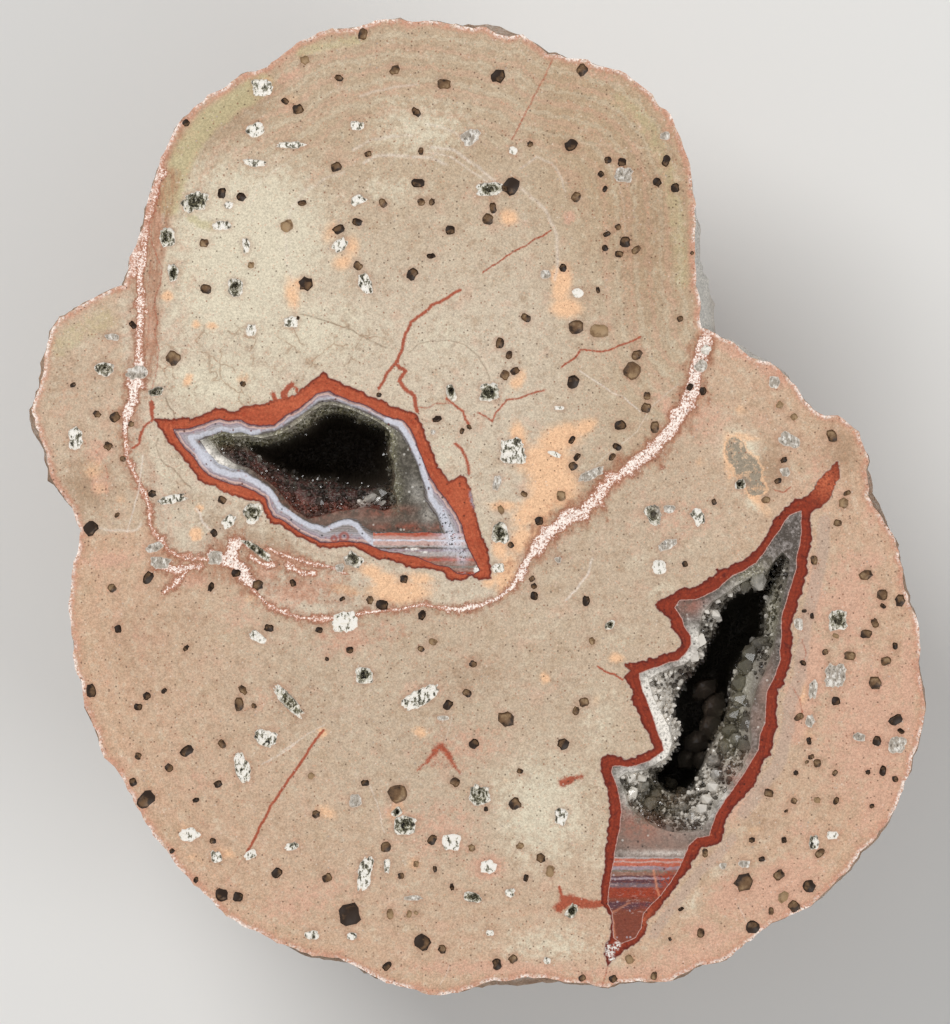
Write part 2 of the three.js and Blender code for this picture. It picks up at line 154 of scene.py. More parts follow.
# The hollows. "rim" is the outside of the jasper, "lining" its inside, "quartz" the inside of the
# agate bands, "lip" where the polished quartz ends, and "dark" where the deep hole begins.
UPPER = {
    "axis": (330, 468), "levels": (0, 6, 13, 19.5, 25.5), "reach": 25.5, "draw_in": 0.6, "power": 1.5,
    "rim_depth": 25.5, "lining_depth": 24.0, "quartz_depth": 22.5,
    "rim": rows("""
    155,419 166,419 182,419 196,417 208,412 216,408 224,408 232,413 240,408 248,406 259,405 269,401
    284,398 297,394 310,382 318,377 324,371 329,377 343,384 357,389 370,397 381,400 393,406 406,410
    415,413 418,418 423,426 426,436 433,452 438,467 445,475 450,482 455,478 461,475 467,480 471,489
    476,516 479,525 482,536 488,550 490,564 491,580 479,580 471,576 462,580 449,579 442,571 430,569
    424,567 415,568 407,567 396,562 386,560 370,557 363,550 354,547 335,548 320,548 316,544 301,538
    290,531 280,524 270,523 266,517 264,507 259,501 250,500 242,498 229,494 216,487 206,484 197,479
    191,468 182,457 173,447 164,435 157,426"""),
    "lining": rows("""
    174,429 185,429 195,427 204,425 211,421 220,419 229,422 241,420 248,424 261,426 274,425 285,417
    297,410 310,401 318,394 329,391 335,395 351,401 366,406 381,414 393,419 403,421 410,429 414,438
    419,452 424,464 430,478 437,490 446,500 455,513 461,525 465,541 470,551 474,561 479,571 473,574
    458,573 449,567 436,564 419,557 400,553 381,550 361,542 349,541 335,542 320,542 306,535 293,527
    281,519 273,516 269,507 266,498 255,491 242,486 229,483 220,480 209,475 200,467 194,457 183,445
    177,436"""),
    "quartz": rows("""
    200,440 212,436 222,431 232,434 242,432 252,436 262,434 275,431 288,425 300,416 310,408 322,402
    335,402 350,406 365,413 380,420 392,427 400,432 407,445 413,456 419,470 423,484 424,497 430,508
    438,519 440,528 442,532 372,532 364,526 357,519 348,518 335,521 325,526 312,523 300,517 288,509
    281,503 276,494 268,485 256,477 243,470 230,468 218,463 208,452"""),
    "lip": rows("""
    210,440 223,434 234,437 246,436 262,438 276,435 289,429 301,420 311,411 322,405 334,405 350,409
    366,416 380,423 389,430 393,440 389,450 394,462 395,476 394,488 398,497 397,507 383,511 369,508
    355,509 338,511 322,516 308,519 297,512 286,500 276,488 262,477 248,468 234,463 222,455"""),
    "dark": rows("""
    246,443 259,443 269,443 282,439 294,433 306,428 316,420 323,414 332,412 344,413 355,418 366,422
    376,426 387,430 390,436 389,444 387,453 392,464 392,474 392,486 380,488 362,489 345,488 333,481
    318,481 300,480 286,474 272,466 260,458 251,450"""),
}
LOWER = {
    "axis": (702, 706), "levels": (0, 7, 15, 22, 28), "reach": 28.0, "draw_in": 0.58, "power": 1.6,
    "rim_depth": 28.0, "lining_depth": 26.5, "quartz_depth": 26.5,
    "rim": rows("""
    838,462 839,477 833,490 829,500 819,508 810,513 811,535 810,548 807,559 807,573 801,593 796,609
    793,619 790,629 793,637 791,651 791,662 786,674 784,684 778,690 776,715 777,728 772,742 770,756
    765,758 760,772 753,786 741,799 732,809 727,818 724,829 721,842 701,849 695,858 686,872 674,889
    661,906 647,921 646,933 638,941 628,948 619,954 608,965 604,955 606,944 611,937 611,925 611,916
    606,910 601,902 601,889 604,874 605,862 607,839 610,816 610,805 606,786 601,770 601,759 607,754
    615,756 626,759 636,757 645,753 655,748 652,741 644,726 638,711 630,700 634,694 630,687 625,677
    629,672 625,664 645,660 661,656 676,651 682,644 678,636 671,627 671,619 660,612 655,604 662,599
    670,596 681,588 696,587 706,581 718,574 715,569 728,567 739,562 752,554 762,543 768,533 774,521
    784,508 795,500 806,497 812,491 817,483 825,473"""),
    "lining": rows("""
    801,511 801,530 799,546 796,559 796,569 788,593 781,619 781,634 779,651 780,659 775,674 767,690
    765,709 765,723 760,734 758,750 751,761 739,780 724,801 716,814 709,835 697,837 689,845 684,856
    679,868 670,882 660,895 650,905 643,914 641,928 635,937 621,943 614,938 613,926 613,912 608,904
    609,889 611,874 614,862 616,846 619,833 622,812 618,789 612,772 613,767 628,767 636,766 651,761
    664,751 662,742 655,723 649,705 643,690 640,677 640,673 648,670 661,666 678,661 686,654 692,644
    691,636 685,627 683,619 675,608 680,601 696,600 706,596 719,588 733,576 744,571 757,563 769,546
    779,531 789,516"""),
    "lip": rows("""
    783,552 776,558 766,572 757,574 748,578 736,586 724,594 712,602 702,612 700,624 698,636 700,646
    694,656 684,664 672,668 660,672 648,680 652,696 660,710 668,726 672,742 668,756 656,764 644,770
    626,772 618,778 624,792 628,806 636,814 646,822 656,828 672,832 688,833 704,829 710,816 720,800
    733,782 744,766 750,752 752,736 750,722 752,706 756,690 764,674 770,660 774,646 776,626 780,606
    786,586 790,570 790,560"""),
    "dark": rows("""
    777,564 770,572 767,588 752,587 739,592 726,601 718,614 716,630 706,646 704,658 693,669 683,684
    673,700 672,714 680,728 675,748 664,764 654,772 656,784 668,794 682,798 694,790 702,774 708,756
    716,742 726,724 732,704 734,688 738,672 748,656 766,642 767,630 766,612 768,596 776,576"""),
}
WATERLINE_TOP = 857             # the level of the fill at the bottom of the lower hollow

# Quartz grains in the face: grid place and size across, for dark, brown and tan ones.
GRAINS = {
    "D": rows("""
    186,123,7 222,193,10 241,197,9 306,284,13 298,318,9 133,325,8 498,76,14 571,145,12 418,183,13
    511,186,18 608,160,7 622,162,9 601,174,6 605,189,6 357,222,10 339,229,12 412,274,12 450,230,9
    431,256,8 563,268,8 607,234,7 605,248,6 625,242,10 598,290,6 666,161,11 657,182,9 675,188,9 690,387,7
    703,391,8 784,460,7 778,481,7 714,502,6 685,564,6 883,606,6 804,611,5 812,616,6 895,646,7 803,663,7
    836,701,8 896,720,13 901,731,8 877,741,10 809,741,7 796,773,5 868,772,5 883,771,10 895,779,6 786,811,4
    872,806,5 752,840,6 784,840,6 762,859,6 809,886,12 753,927,13 681,909,6 670,939,4 573,382,13 379,395,5
    437,419,9 620,425,11 617,447,9 572,440,8 577,457,8 539,521,8 534,596,8 354,557,12 382,605,12 342,599,6
    422,615,10 586,601,10 350,650,7 319,630,7 327,659,4 73,385,6 152,494,8 214,533,7 91,528,15 148,578,12
    211,587,9 236,573,9 293,583,7 118,629,8 269,628,9 186,648,7 91,691,13 147,696,7 164,691,6 138,707,8
    187,751,14 218,784,8 196,800,7 146,800,24 133,782,8 172,851,8 196,880,10 222,895,12 238,897,10
    213,841,6 277,873,11 448,705,10 474,744,10 563,744,11 365,783,8 486,809,5 435,869,6 350,915,21
    526,878,7 452,887,7 422,942,16 497,964,11 387,966,10 345,961,8 404,579,8"""),
    "B": rows("""
    285,101,7 298,109,10 204,243,9 302,203,8 206,289,11 363,34,11 395,70,11 339,78,9 444,84,12 582,70,11
    416,112,10 530,144,6 336,167,10 421,151,7 368,154,7 493,208,10 488,219,10 383,203,9 421,202,7
    432,202,7 576,197,10 358,266,9 618,227,6 619,254,8 636,250,10 576,327,14 526,318,10 500,343,10
    509,355,8 637,355,12 692,253,9 680,319,6 706,344,8 173,358,13 632,371,16 647,396,8 646,408,9
    655,427,11 832,436,12 847,493,7 838,523,8 814,560,9 866,575,14 882,595,10 900,600,12 875,623,9
    866,634,11 850,656,11 886,661,10 825,652,6 875,683,13 799,717,10 811,757,6 807,762,7 817,763,8
    835,773,6 769,793,9 794,801,6 836,801,8 820,853,10 744,882,18 779,875,11 794,906,11 771,911,7
    701,933,9 705,853,9 654,976,9 582,978,9 613,979,8 505,375,9 515,371,9 573,466,12 612,457,8 524,494,7
    511,545,6 532,579,6 534,586,8 370,600,9 473,664,7 421,649,7 97,414,8 115,417,10 131,424,6 108,446,8
    123,459,6 117,515,6 222,500,8 112,588,8 258,585,10 243,690,10 239,704,13 254,706,6 222,744,9 169,768,8
    138,756,7 316,814,8 467,693,9 506,719,16 584,702,9 576,711,8 520,771,6 455,782,9 398,794,18 515,804,11
    432,840,10 386,847,10 401,876,6 327,878,10 541,858,9 442,949,9 513,959,8 243,384,6 462,431,6 469,427,6"""),
    "T": rows("""
    305,60,9 287,226,12 251,265,6 599,331,17 780,405,7 794,417,7 766,500,9 844,503,11 817,800,7 783,897,12
    629,959,9 561,496,10 501,510,9 433,642,8 592,641,7 311,776,6 326,879,10 472,848,8 520,846,8 416,864,6
    550,871,11 390,914,10 409,914,7 416,913,7 460,779,7 836,636,7 795,502,6"""),
}
GRAIN_TONES = {"D": 0.12, "B": 0.48, "T": 0.95}
# How deep each kind of feldspar is pitted, and how wide (to its size) and strong its own colour is.
FILLS = {
    "porous": (0.5, 1.0, 0.0), "hollow": (0.9, 0.5, 1.0), "solid": (0.05, 1.0, 1.0), "grey": (0.12, 1.0, 2.0),
}
# Weathered white feldspars by kind: grid place, length, width, turn in degrees anticlockwise.
FELDSPARS = {
    "porous": rows("""
    262,87,22,16,0 256,130,18,14,20 291,145,28,7,0 254,163,22,7,-5 222,225,20,9,0 246,246,8,14,0
    291,322,14,12,0 251,330,10,12,0 76,439,14,20,0 357,126,14,9,0 229,205,10,8,0 229,521,15,10,35
    358,200,14,10,20 340,245,16,12,40 365,284,12,20,20 498,568,12,10,0 698,517,11,18,25 782,694,7,17,-15
    242,768,14,30,20 265,737,22,16,-20 420,698,38,17,35 561,817,12,16,0 365,873,13,36,-12 387,866,6,14,0
    216,857,10,12,0 292,846,15,8,15 312,935,14,9,0 510,893,11,9,0 814,842,10,14,0 513,451,26,24,0
    258,637,17,9,-35 171,499,29,9,10 547,961,7,7,0 490,933,8,6,0 352,936,10,8,0 706,350,10,10,-30"""),
    "hollow": rows("""
    195,202,27,19,10 167,237,16,20,0 173,273,11,16,0 235,287,16,18,0 105,369,18,13,0 155,392,16,9,15
    253,513,20,17,35 257,550,34,8,-35 451,392,10,17,10 489,392,20,18,0 500,533,15,20,10 353,560,17,15,-40
    653,515,15,23,20 838,620,19,21,0 364,675,18,16,0 289,702,42,11,-45 480,795,21,19,0 405,825,22,18,10
    473,897,19,10,-15 572,911,11,15,-25 740,484,10,11,0 490,189,27,13,5 397,812,9,11,-40 610,625,11,8,35"""),
    "solid": rows("""
    345,622,24,20,0 345,632,14,10,0 451,842,17,16,0 488,867,15,13,0 250,855,14,9,30 659,567,14,15,0
    832,835,12,8,0 189,835,18,13,0 578,293,11,9,0 513,151,9,8,0 559,408,10,4,0 555,454,13,5,-20"""),
    "grey": rows("""
    113,337,14,7,0 137,373,19,13,0 471,137,20,14,30 624,175,20,14,0 546,274,10,8,0 665,136,10,8,0
    497,482,8,16,-15 154,547,17,8,20 160,563,28,17,-10 215,558,15,14,0 340,568,9,9,0 669,509,12,9,0
    667,545,19,9,25 790,440,20,12,-25 785,472,10,9,0 701,366,13,11,40 774,382,10,13,0 799,624,13,18,15
    835,676,19,25,0 813,689,8,20,-5 810,721,9,13,0 860,737,12,8,-20 898,744,18,17,0 745,864,13,8,0
    723,866,7,7,0 355,801,13,12,0 414,898,18,5,0 443,718,12,5,0 593,474,26,10,22 250,563,12,7,0
    433,432,5,5,0 558,560,7,6,0"""),
}

# Lines on the face as (width on the grid, strength, points): red veins, then hairlines that are pale
# above nought and dark below it.
VEINS = strokes("""
    2.2,0.9: 460,290 452,294 440,303 432,305 425,312 411,322 405,335 403,348 397,362 388,372 379,389;
    2.8,0.95: 396,362 399,368 406,372 400,378 399,381 408,391 414,396 415,404 417,412; 1.4,0.7: 551,230
    536,239 520,248 505,256 496,264 484,272; 1.9,0.55: 552,60 545,75 537,92 531,103 522,120 512,140;
    1.5,0.75: 640,337 622,345 612,349 600,352 592,351 580,350 575,358 562,367; 2.4,0.8: 455,443 461,449
    465,456 468,463 468,474; 2,0.8: 446,399 455,406 463,411 465,419 469,424; 1.6,0.7: 480,413 486,416
    493,422 496,412 507,400 520,398 533,393 544,390; 2.2,0.5: 416,407 428,408 438,403 450,404; 1.8,0.9:
    323,730 311,747 298,767 285,785 273,803 262,823 254,840 247,852; 1.3,0.4: 247,852 238,866 229,880;
    8,0.75: 442,746 435,752; 4.5,0.7: 435,752 427,761; 2.5,0.6: 427,761 418,770; 6,0.75: 443,748 449,757;
    4,0.7: 449,757 455,766; 2.5,0.6: 455,766 461,773; 7,0.4: 431,766 440,762 448,768; 1.4,0.8: 598,667
    606,672 614,674 623,680; 6,1: 285,400 284,394; 4,1: 284,394 288,388 292,384; 4,0.9: 276,400 273,394;
    2.4,0.9: 297,392 296,388; 3.6,1: 151,402 152,409; 3,0.9: 151,411 153,420; 2,0.8: 152,421 144,427
    140,434 139,444 132,449; 3,0.7: 141,432 139,441; 6,1: 603,903 590,905 580,904; 9,1: 584,903 572,901
    565,900; 8,1: 566,900 562,905 558,909; 2.5,0.8: 561,895 559,888; 7,0.9: 562,783 571,780; 4,0.7:
    571,780 582,776; 1.6,0.5: 160,186 156,205 152,222 151,240 156,256 162,268 160,285 155,298 154,310
    158,322 155,335 159,350 157,368 153,388 150,402; 1.4,0.4: 150,215 147,240 150,262 148,290 149,320
    147,345; 1.6,0.5: 598,1000 604,978 608,964; 1.4,0.6: 775,490 784,493 790,487; 1.4,0.4: 700,395 694,402
    689,412; 2,0.5: 794,690 800,700 803,712 799,722; 1.5,0.5: 802,640 806,652 804,664; 1.4,0.35: 186,815
    198,822 214,828; 1.6,0.35: 232,800 250,801 270,803; 1.8,0.4: 210,480 222,470 226,462; 1.4,0.35:
    460,800 452,812 440,824; 1.4,0.3: 700,120 640,150 560,166; 2.4,0.4: 95,450 104,462 108,476 106,492;
    1.6,0.35: 84,462 92,478 95,492""")
HAIRLINES = strokes("""
    1.4,-0.8: 300,314 318,319 338,325 352,331 368,339 385,347; 1.3,-0.7: 408,352 418,345 432,341 450,340
    465,345 478,356 486,368 490,380; 1.8,0.9: 592,560 590,568 587,576 580,584 575,590 566,600; 1.4,0.8:
    580,371 590,378 601,384 612,392 624,398 640,412; 1.2,0.6: 679,384 664,396 650,408 645,418 637,432
    622,443 606,455 590,470; 3.2,0.6: 360,96 376,91 396,87 419,84; 3.4,0.65: 352,150 372,140 392,136
    413,135; 3.4,0.7: 364,163 378,155 404,156 430,158 446,164; 3,0.6: 425,124 448,128 462,138; 3.6,0.7:
    430,147 454,150 476,166 495,181; 2.6,0.65: 428,153 452,157 472,172 490,184; 3,0.6: 521,168 536,157
    552,163 562,178 566,192; 4,0.65: 520,188 535,199 546,212 553,226 557,240 558,262 555,280; 4.4,0.55:
    345,172 325,178 304,192 290,212 285,238 287,262 292,280; 3,0.5: 250,205 258,186 272,172 292,160;
    3,0.45: 600,150 616,176 624,206 626,240; 2.6,0.7: 98,528 106,530 118,530 128,532 136,530 141,524;
    1.3,0.8: 78,528 70,531; 1.2,-0.9: 166,398 168,405 173,411 174,418 173,425; 1.4,-0.8: 158,438 156,446
    158,455 164,463 172,468 178,474 184,482 192,488; 1.2,-0.6: 179,377 186,382 189,390 196,394 204,394
    209,388; 1.2,-0.5: 232,394 240,400 249,402 255,408; 1.2,-0.5: 196,372 206,374 216,370; 1,-0.5: 212,350
    222,345 230,336; 1,-0.5: 180,322 186,332 184,342; 1.3,0.8: 128,532 132,514 138,494 141,474 143,455;
    2.2,0.9: 196,508 200,514 202,522 209,530; 1,-0.6: 474,498 481,508 488,515 494,521; 1.2,0.6: 738,905
    741,912 745,918 748,928; 1.2,0.6: 440,985 446,975 450,965; 1,-0.3: 620,660 630,648 640,640 652,628;
    1,0.7: 324,724 308,734 290,748 268,762; 1,0.7: 312,732 292,744 276,756 262,764; 1.1,0.7: 369,784
    376,800 381,820 384,832; 1,0.5: 345,708 360,696 378,684; 1,0.6: 446,740 449,728 452,716; 1,0.5:
    550,700 566,692 584,682; 1,-0.4: 620,470 634,458 652,446 664,430; 1,0.5: 380,905 396,899 420,896;
    1,-0.35: 270,786 262,808 258,826; 1,0.4: 505,690 495,704 487,716; 1.2,-0.4: 480,980 484,962 480,944
    486,930; 3,-0.45: 171,155 163,176 160,196 155,220 153,245 156,262 160,285 158,320 157,352; 2,-0.4:
    166,186 166,206 161,232 161,256 166,284 165,310""")
# The seams where the lobes met, as (half width on the grid, share of white granules, points).
SEAMS = strokes("""
    6,0.85: 706,336 702,348 698,362 695,376 692,390 685,408 676,422 666,435 655,448 640,460 626,470;
    5,0.5: 626,470 614,478 604,487 599,497 591,503; 6.5,0.85: 591,503 580,512 566,521 553,529 544,536
    537,547; 3.6,0.95: 537,547 531,556 524,567 520,577; 2,0.9: 520,577 512,587 500,597 480,605 462,610
    446,608; 1.8,0.2: 446,608 425,604 400,609 370,612 345,616 318,619 300,617 282,612 264,601 252,589
    246,580; 2.1,0.12: 125,432 126,445 125,455 130,465 136,476 144,491 149,507 150,518 151,527 158,537
    169,550 185,558 208,560; 5,0.9: 138,364 136,383 131,401 127,416; 2.6,0.8: 127,416 125,432; 3.4,0.45:
    162,172 155,190 151,205 147,225 144,245 141,270 140,300 140,330 138,364; 5,0.5: 137,250 134,262
    133,274; 6,0.9: 212,556 226,560 240,568 250,581; 6,0.9: 236,543 231,556; 1.5,0.3: 248,546 262,551
    270,549 285,556 305,561 330,567 345,573; 3,0.3: 288,566 300,572 314,574; 2.2,0.4: 250,556 262,564
    274,566; 1.6,0.3: 192,566 184,574 172,586 164,592; 3.4,0.5: 158,566 176,570 200,566; 2.4,0.5: 180,118
    170,140 160,165""")
# Wide streaks of another tint: brown stain beside the seams, greenish bands near the edge, and a
# paler strip beside the lower hollow.
STAINS = strokes("""
    20,0.95: 172,176 165,200 160,225 155,250 152,275 152,305 150,335 147,365; 26,0.5: 138,255 136,300
    140,340 136,380 132,410; 16,0.6: 560,518 590,496 620,474 648,452 668,428; 26,0.6: 205,566 240,578
    290,588 345,596; 30,0.4: 330,640 400,630; 12,0.5: 140,420 150,470 156,510 176,545""")
OLIVE = strokes("""
    24,0.9: 168,205 174,180 184,155 198,132 216,115 238,100 262,84; 12,0.6: 300,52 330,44 362,40; 20,0.5:
    620,100 646,122 664,160 676,210 682,280; 26,0.5: 60,345 80,330 105,320; 10,0.7: 190,218 202,224
    212,226""")
VEIL = strokes("""
    13,0.9: 824,520 823,548 818,574 812,602 805,626 803,650 799,680 790,704 787,732 780,760 764,784
    744,812; 11,0.8: 732,838 716,858 698,872 684,892 668,912 654,934""")

# Soft patches of another tint: across, down, half length, half width, turn, strength.
PEACH = rows("""
    518,436,8,14,10,1 560,438,24,13,22,1 585,427,12,7,30,1 546,462,26,18,0,1.1 553,486,24,22,0,1.1
    535,508,26,12,40,1.1 540,510,12,12,0,1.1 503,506,16,5,0,0.9 540,533,8,12,-30,1 521,540,16,10,60,1
    506,574,10,22,-15,1 489,580,8,8,0,0.9 500,548,8,12,0,0.9 400,592,30,12,0,1.1 372,572,14,7,-20,0.9
    385,580,14,8,0,0.9 420,578,16,6,-10,0.8 345,590,18,6,-10,0.6 562,285,9,20,-12,0.95
    566,308,16,10,0,0.95 556,276,6,10,0,0.9 509,217,9,8,0,0.95 188,380,4,8,-30,0.9 343,262,12,8,20,0.75
    352,246,8,12,0,0.7 330,232,8,14,-20,0.55 292,294,8,18,10,0.75 300,284,14,7,0,0.7 196,534,5,5,0,1.8
    199,509,4,3,0,1.2 167,296,6,5,0,0.95 196,324,4,4,0,0.95 212,326,6,4,0,0.9 243,378,6,6,0,0.7
    516,383,7,7,0,0.8 522,376,5,9,0,0.7 740,410,8,6,0,0.5 757,500,20,5,-50,0.9 728,455,5,26,5,0.8
    744,437,18,4,-10,0.7 700,462,8,6,0,0.4 616,658,8,5,0,0.9 420,732,8,5,-20,0.9 700,400,6,5,0,0.4
    322,733,5,5,0,0.9 596,700,6,8,0,0.4 505,780,8,6,0,0.3 414,864,8,6,0,0.6 396,812,7,12,-30,0.7
    326,812,12,7,-20,0.7 545,678,5,6,0,0.9 803,694,5,14,0,0.6 808,735,8,8,0,0.4 755,830,10,6,0,0.4
    694,950,10,8,0,0.3 630,960,8,7,0,0.5 268,80,6,5,0,0.5 290,100,12,8,0,0.4 195,860,12,6,-30,0.4
    186,832,10,8,0,0.6 225,853,12,6,-20,0.6 120,500,7,6,0,0.4 93,470,12,10,0,0.5 100,488,8,8,0,0.5
    250,598,8,5,0,0.5""")
CREAM = rows("""
    250,240,80,80,0,1.1 300,330,90,44,0,0.7 220,380,60,30,0,0.9 230,300,60,50,0,0.9 540,810,60,70,0,0.7
    550,945,60,26,0,0.6 420,130,60,36,0,0.6 390,190,50,20,0,0.5 330,380,50,16,10,0.4 195,222,20,10,0,1
    440,340,50,30,0,0.45 600,850,30,50,0,0.45 470,560,20,8,30,0.5 600,720,26,60,0,0.45 445,450,16,24,0,0.5
    400,160,40,10,0,0.3 739,447,26,20,-30,0.9 757,503,12,9,-40,0.9 150,450,12,28,0,0.45
    212,470,26,8,-30,0.5 330,572,16,6,0,0.35 660,590,20,8,20,0.5 620,640,30,12,20,0.4 545,620,60,26,0,0.3
    520,860,60,30,0,0.3 560,930,50,24,0,0.35 600,810,14,50,0,0.4 640,560,30,20,30,0.35
    700,540,50,10,35,0.4 790,470,14,12,0,0.4 165,470,8,12,0,0.5 620,965,18,12,0,0.5 720,870,20,14,30,0.5
    690,905,14,20,-40,0.5 80,345,20,16,0,0.4 90,420,14,14,0,0.3 175,545,8,6,0,0.4 440,600,30,4,0,0.5
    205,640,10,5,20,0.3 310,600,18,5,0,0.4""")
ROSE = rows("""
    870,730,60,100,0,0.8 780,890,60,34,32,0.9 850,600,30,60,0,0.8 690,955,60,16,10,0.8 488,867,18,15,0,1
    158,215,5,46,0,0.9 163,178,5,20,-15,0.8 150,330,9,40,0,0.7 300,592,50,16,15,0.8 345,640,36,20,0,0.7
    240,618,34,20,0,0.5 440,830,60,40,0,0.6 470,745,60,30,0,0.55 300,900,70,24,20,0.6 706,420,26,40,30,0.6
    680,520,60,30,0,0.5 820,480,26,40,0,0.5 569,217,7,7,0,1.1 770,372,24,8,-30,1.1 735,352,20,5,-25,1.2
    670,412,8,30,30,0.9 620,478,22,8,40,0.9 574,512,20,5,40,0.9 110,560,40,12,0,0.7 640,972,110,8,0,0.8
    500,968,110,10,0,0.8 880,800,22,50,-30,0.8 908,690,10,80,0,0.9 815,590,10,40,10,1 812,665,16,40,0,1.1
    800,700,16,26,0,1.2 795,730,12,14,0,1.1 870,560,26,14,0,0.7 870,520,12,20,0,0.6 850,600,14,26,0,0.6
    850,710,14,20,0,0.7 740,800,12,30,-30,0.9 730,895,26,20,30,1 790,870,30,14,30,0.7 720,940,40,10,20,0.8
    700,930,20,14,0,0.8 800,830,20,12,0,0.6 860,770,14,30,0,0.6 760,760,8,20,-30,0.6 262,700,20,16,0,0.5
    190,700,20,20,0,0.35 140,640,20,40,0,0.4 200,780,20,20,0,0.5 98,452,16,16,0,0.7 100,484,12,14,0,0.8
    66,400,10,20,0,0.4 180,525,12,8,0,0.4 290,560,36,8,-15,0.9 265,572,14,12,0,0.9 190,580,24,8,0,0.9
    330,580,20,8,0,0.6 240,600,20,8,0,0.6 390,630,20,20,0,0.5 352,632,14,12,0,0.8 440,755,16,18,0,0.6
    415,690,20,14,0,0.5 355,915,14,16,0,0.4 560,800,30,10,0,0.3 290,76,24,10,30,0.6 222,96,18,10,30,0.6
    190,130,10,22,-20,0.6 330,50,30,8,10,0.4 600,76,36,6,-15,0.6 668,130,7,24,10,0.5 240,150,18,6,10,0.5
    690,235,4,60,0,0.3 395,812,14,16,0,0.7""")
DUSKY = rows("""
    88,486,30,34,0,0.9 235,112,76,26,38,0.8 650,240,50,130,0,0.55 470,675,60,30,0,0.6 140,640,46,60,0,0.5
    840,452,26,30,0,0.8 768,468,22,30,0,0.9 300,700,70,40,0,0.4 450,745,60,40,0,0.5 430,60,90,22,0,0.4
    270,550,60,22,-20,0.9 330,585,60,12,-8,0.7 215,520,20,14,0,0.5 600,480,46,9,40,1 560,508,30,9,35,1
    735,890,24,20,0,0.8 760,820,20,20,30,0.6 60,380,16,40,0,0.5 180,620,60,12,0,0.5 620,620,30,12,0,0.3""")
MOTTLE = rows("736,452,11,16,10,1 748,470,13,18,30,1.1 756,488,10,10,35,1")
CRACKED = rows("225,368,80,44,0,1.2 330,345,70,30,0,1 178,452,18,50,-15,1.1 200,520,30,30,0,0.6")

PATCHES = {"peach": PEACH, "cream": CREAM, "rose": ROSE, "umber": DUSKY, "mottle": MOTTLE, "cracked": CRACKED}
LINES = {"vein": VEINS, "hair": HAIRLINES, "veil": VEIL, "olive": OLIVE}

# The white-blue agate band and the red loops beside it, on the drawing grid.
WHITE_BAND = strokes("""
    5,0.8: 192,437 200,436 211,433 222,428 232,431 242,429 250,433 259,431; 3,0.6: 259,431 275,428 290,420
    304,411 318,400 332,397 350,404 370,411 388,420; 6,1: 191,438 198,450 206,460 216,469 229,474 242,475
    255,481 267,489 275,498; 5,1: 275,498 280,508 290,513 301,522 312,527 325,530 335,525 348,522 357,525
    363,533 370,541 376,547; 5.6,1: 387,420 400,424 407,435 415,450 421,464 426,479 431,498 439,510
    445,520; 9,1: 441,510 446,522 452,534 458,546""")
RED_LOOPS = [(344, 537, 4.0), (334, 539, 2.4)]

# Patches of the jasper: grey, glowing orange, and sparkling white.
JASPER_PATCHES = {
    "upper": {"grey": rows("473,500,4,11,15,1"), "sparkle": [],
              "glow": rows("300,405,60,14,-10,0.6 230,487,40,8,15,0.5 462,505,14,22,20,0.6")},
    "lower": {"grey": [], "sparkle": rows("610,953,4,11,20,1.2 616,946,6,4,40,1"),
              "glow": rows("826,482,16,18,40,0.9 640,920,14,8,45,0.7 615,670,12,8,0,0.4")},
}
# Patches and lines of the agates.
AGATE_HAZE = rows("226,464,20,7,-15,0.9 205,457,16,9,-50,1")
AGATE_DOTS = rows("446,520,6,14,25,1 456,540,8,12,20,1")
UPPER_LEVEL = {
    "white": rows("412,549,8,1.6,0,0.9 478,570,5,5,0,1 424,552,5,1.2,0,0.7"),
    "warm": rows("430,534,34,3,0,0.9 400,534,18,2.4,0,0.6 440,559,20,2,0,0.8"),
    "speckled": rows("452,538,12,16,20,1 462,556,6,8,0,0.8"), "fill": [], "line": [],
}
LOWER_LEVEL = {
    "warm": rows("668,880,12,14,0,1 640,893,30,4,0,0.9 655,903,14,8,30,0.7"), "white": [], "speckled": [],
    "fill": rows("612,914 613,935 624,943 631,945 640,938 646,915"),
    "line": strokes("1.1,0.7: 653,870 657,890 661,905; 1,0.5: 612,912 630,903; 1,0.6: 612,914 615,939"),
}

# Stripes of the level agates: how far down, softness on the grid, and colour name.
UPPER_STRIPES = [
    (0, 1, "water_orange"), (536, 1.2, "water_pink"), (539.6, 0.6, "agate_white"),
    (541.2, 0.8, "water_pink"), (545.4, 0.9, "quartz_pale"), (547.2, 0.5, "quartz_smoke"),
    (549, 0.6, "agate_mauve"), (551.5, 0.8, "quartz_pale"), (556.5, 1, "water_brown"),
    (558.5, 0.7, "water_orange"), (561, 0.8, "water_brown"), (565.5, 1, "quartz_grey"),
    (568, 0.8, "water_brown"), (572, 1, "jasper_mid"),
]
LOWER_STRIPES = [
    (0, 1, "quartz_pale"), (858.6, 0.5, "water_orange"), (861.2, 0.8, "water_pink"),
    (862.6, 0.8, "water_orange"), (866.4, 0.8, "agate_mauve"), (870, 0.8, "quartz_grey"),
    (872, 0.8, "water_brown"), (875.6, 0.6, "purple"), (877.2, 0.6, "agate_mauve"),
    (879.5, 0.6, "purple"), (883, 1, "agate_shadow"), (887.5, 1.2, "water_red"),
    (898, 1.6, "jasper_fill"), (902, 1.6, "purple"), (909, 1.6, "jasper_fill"),
]

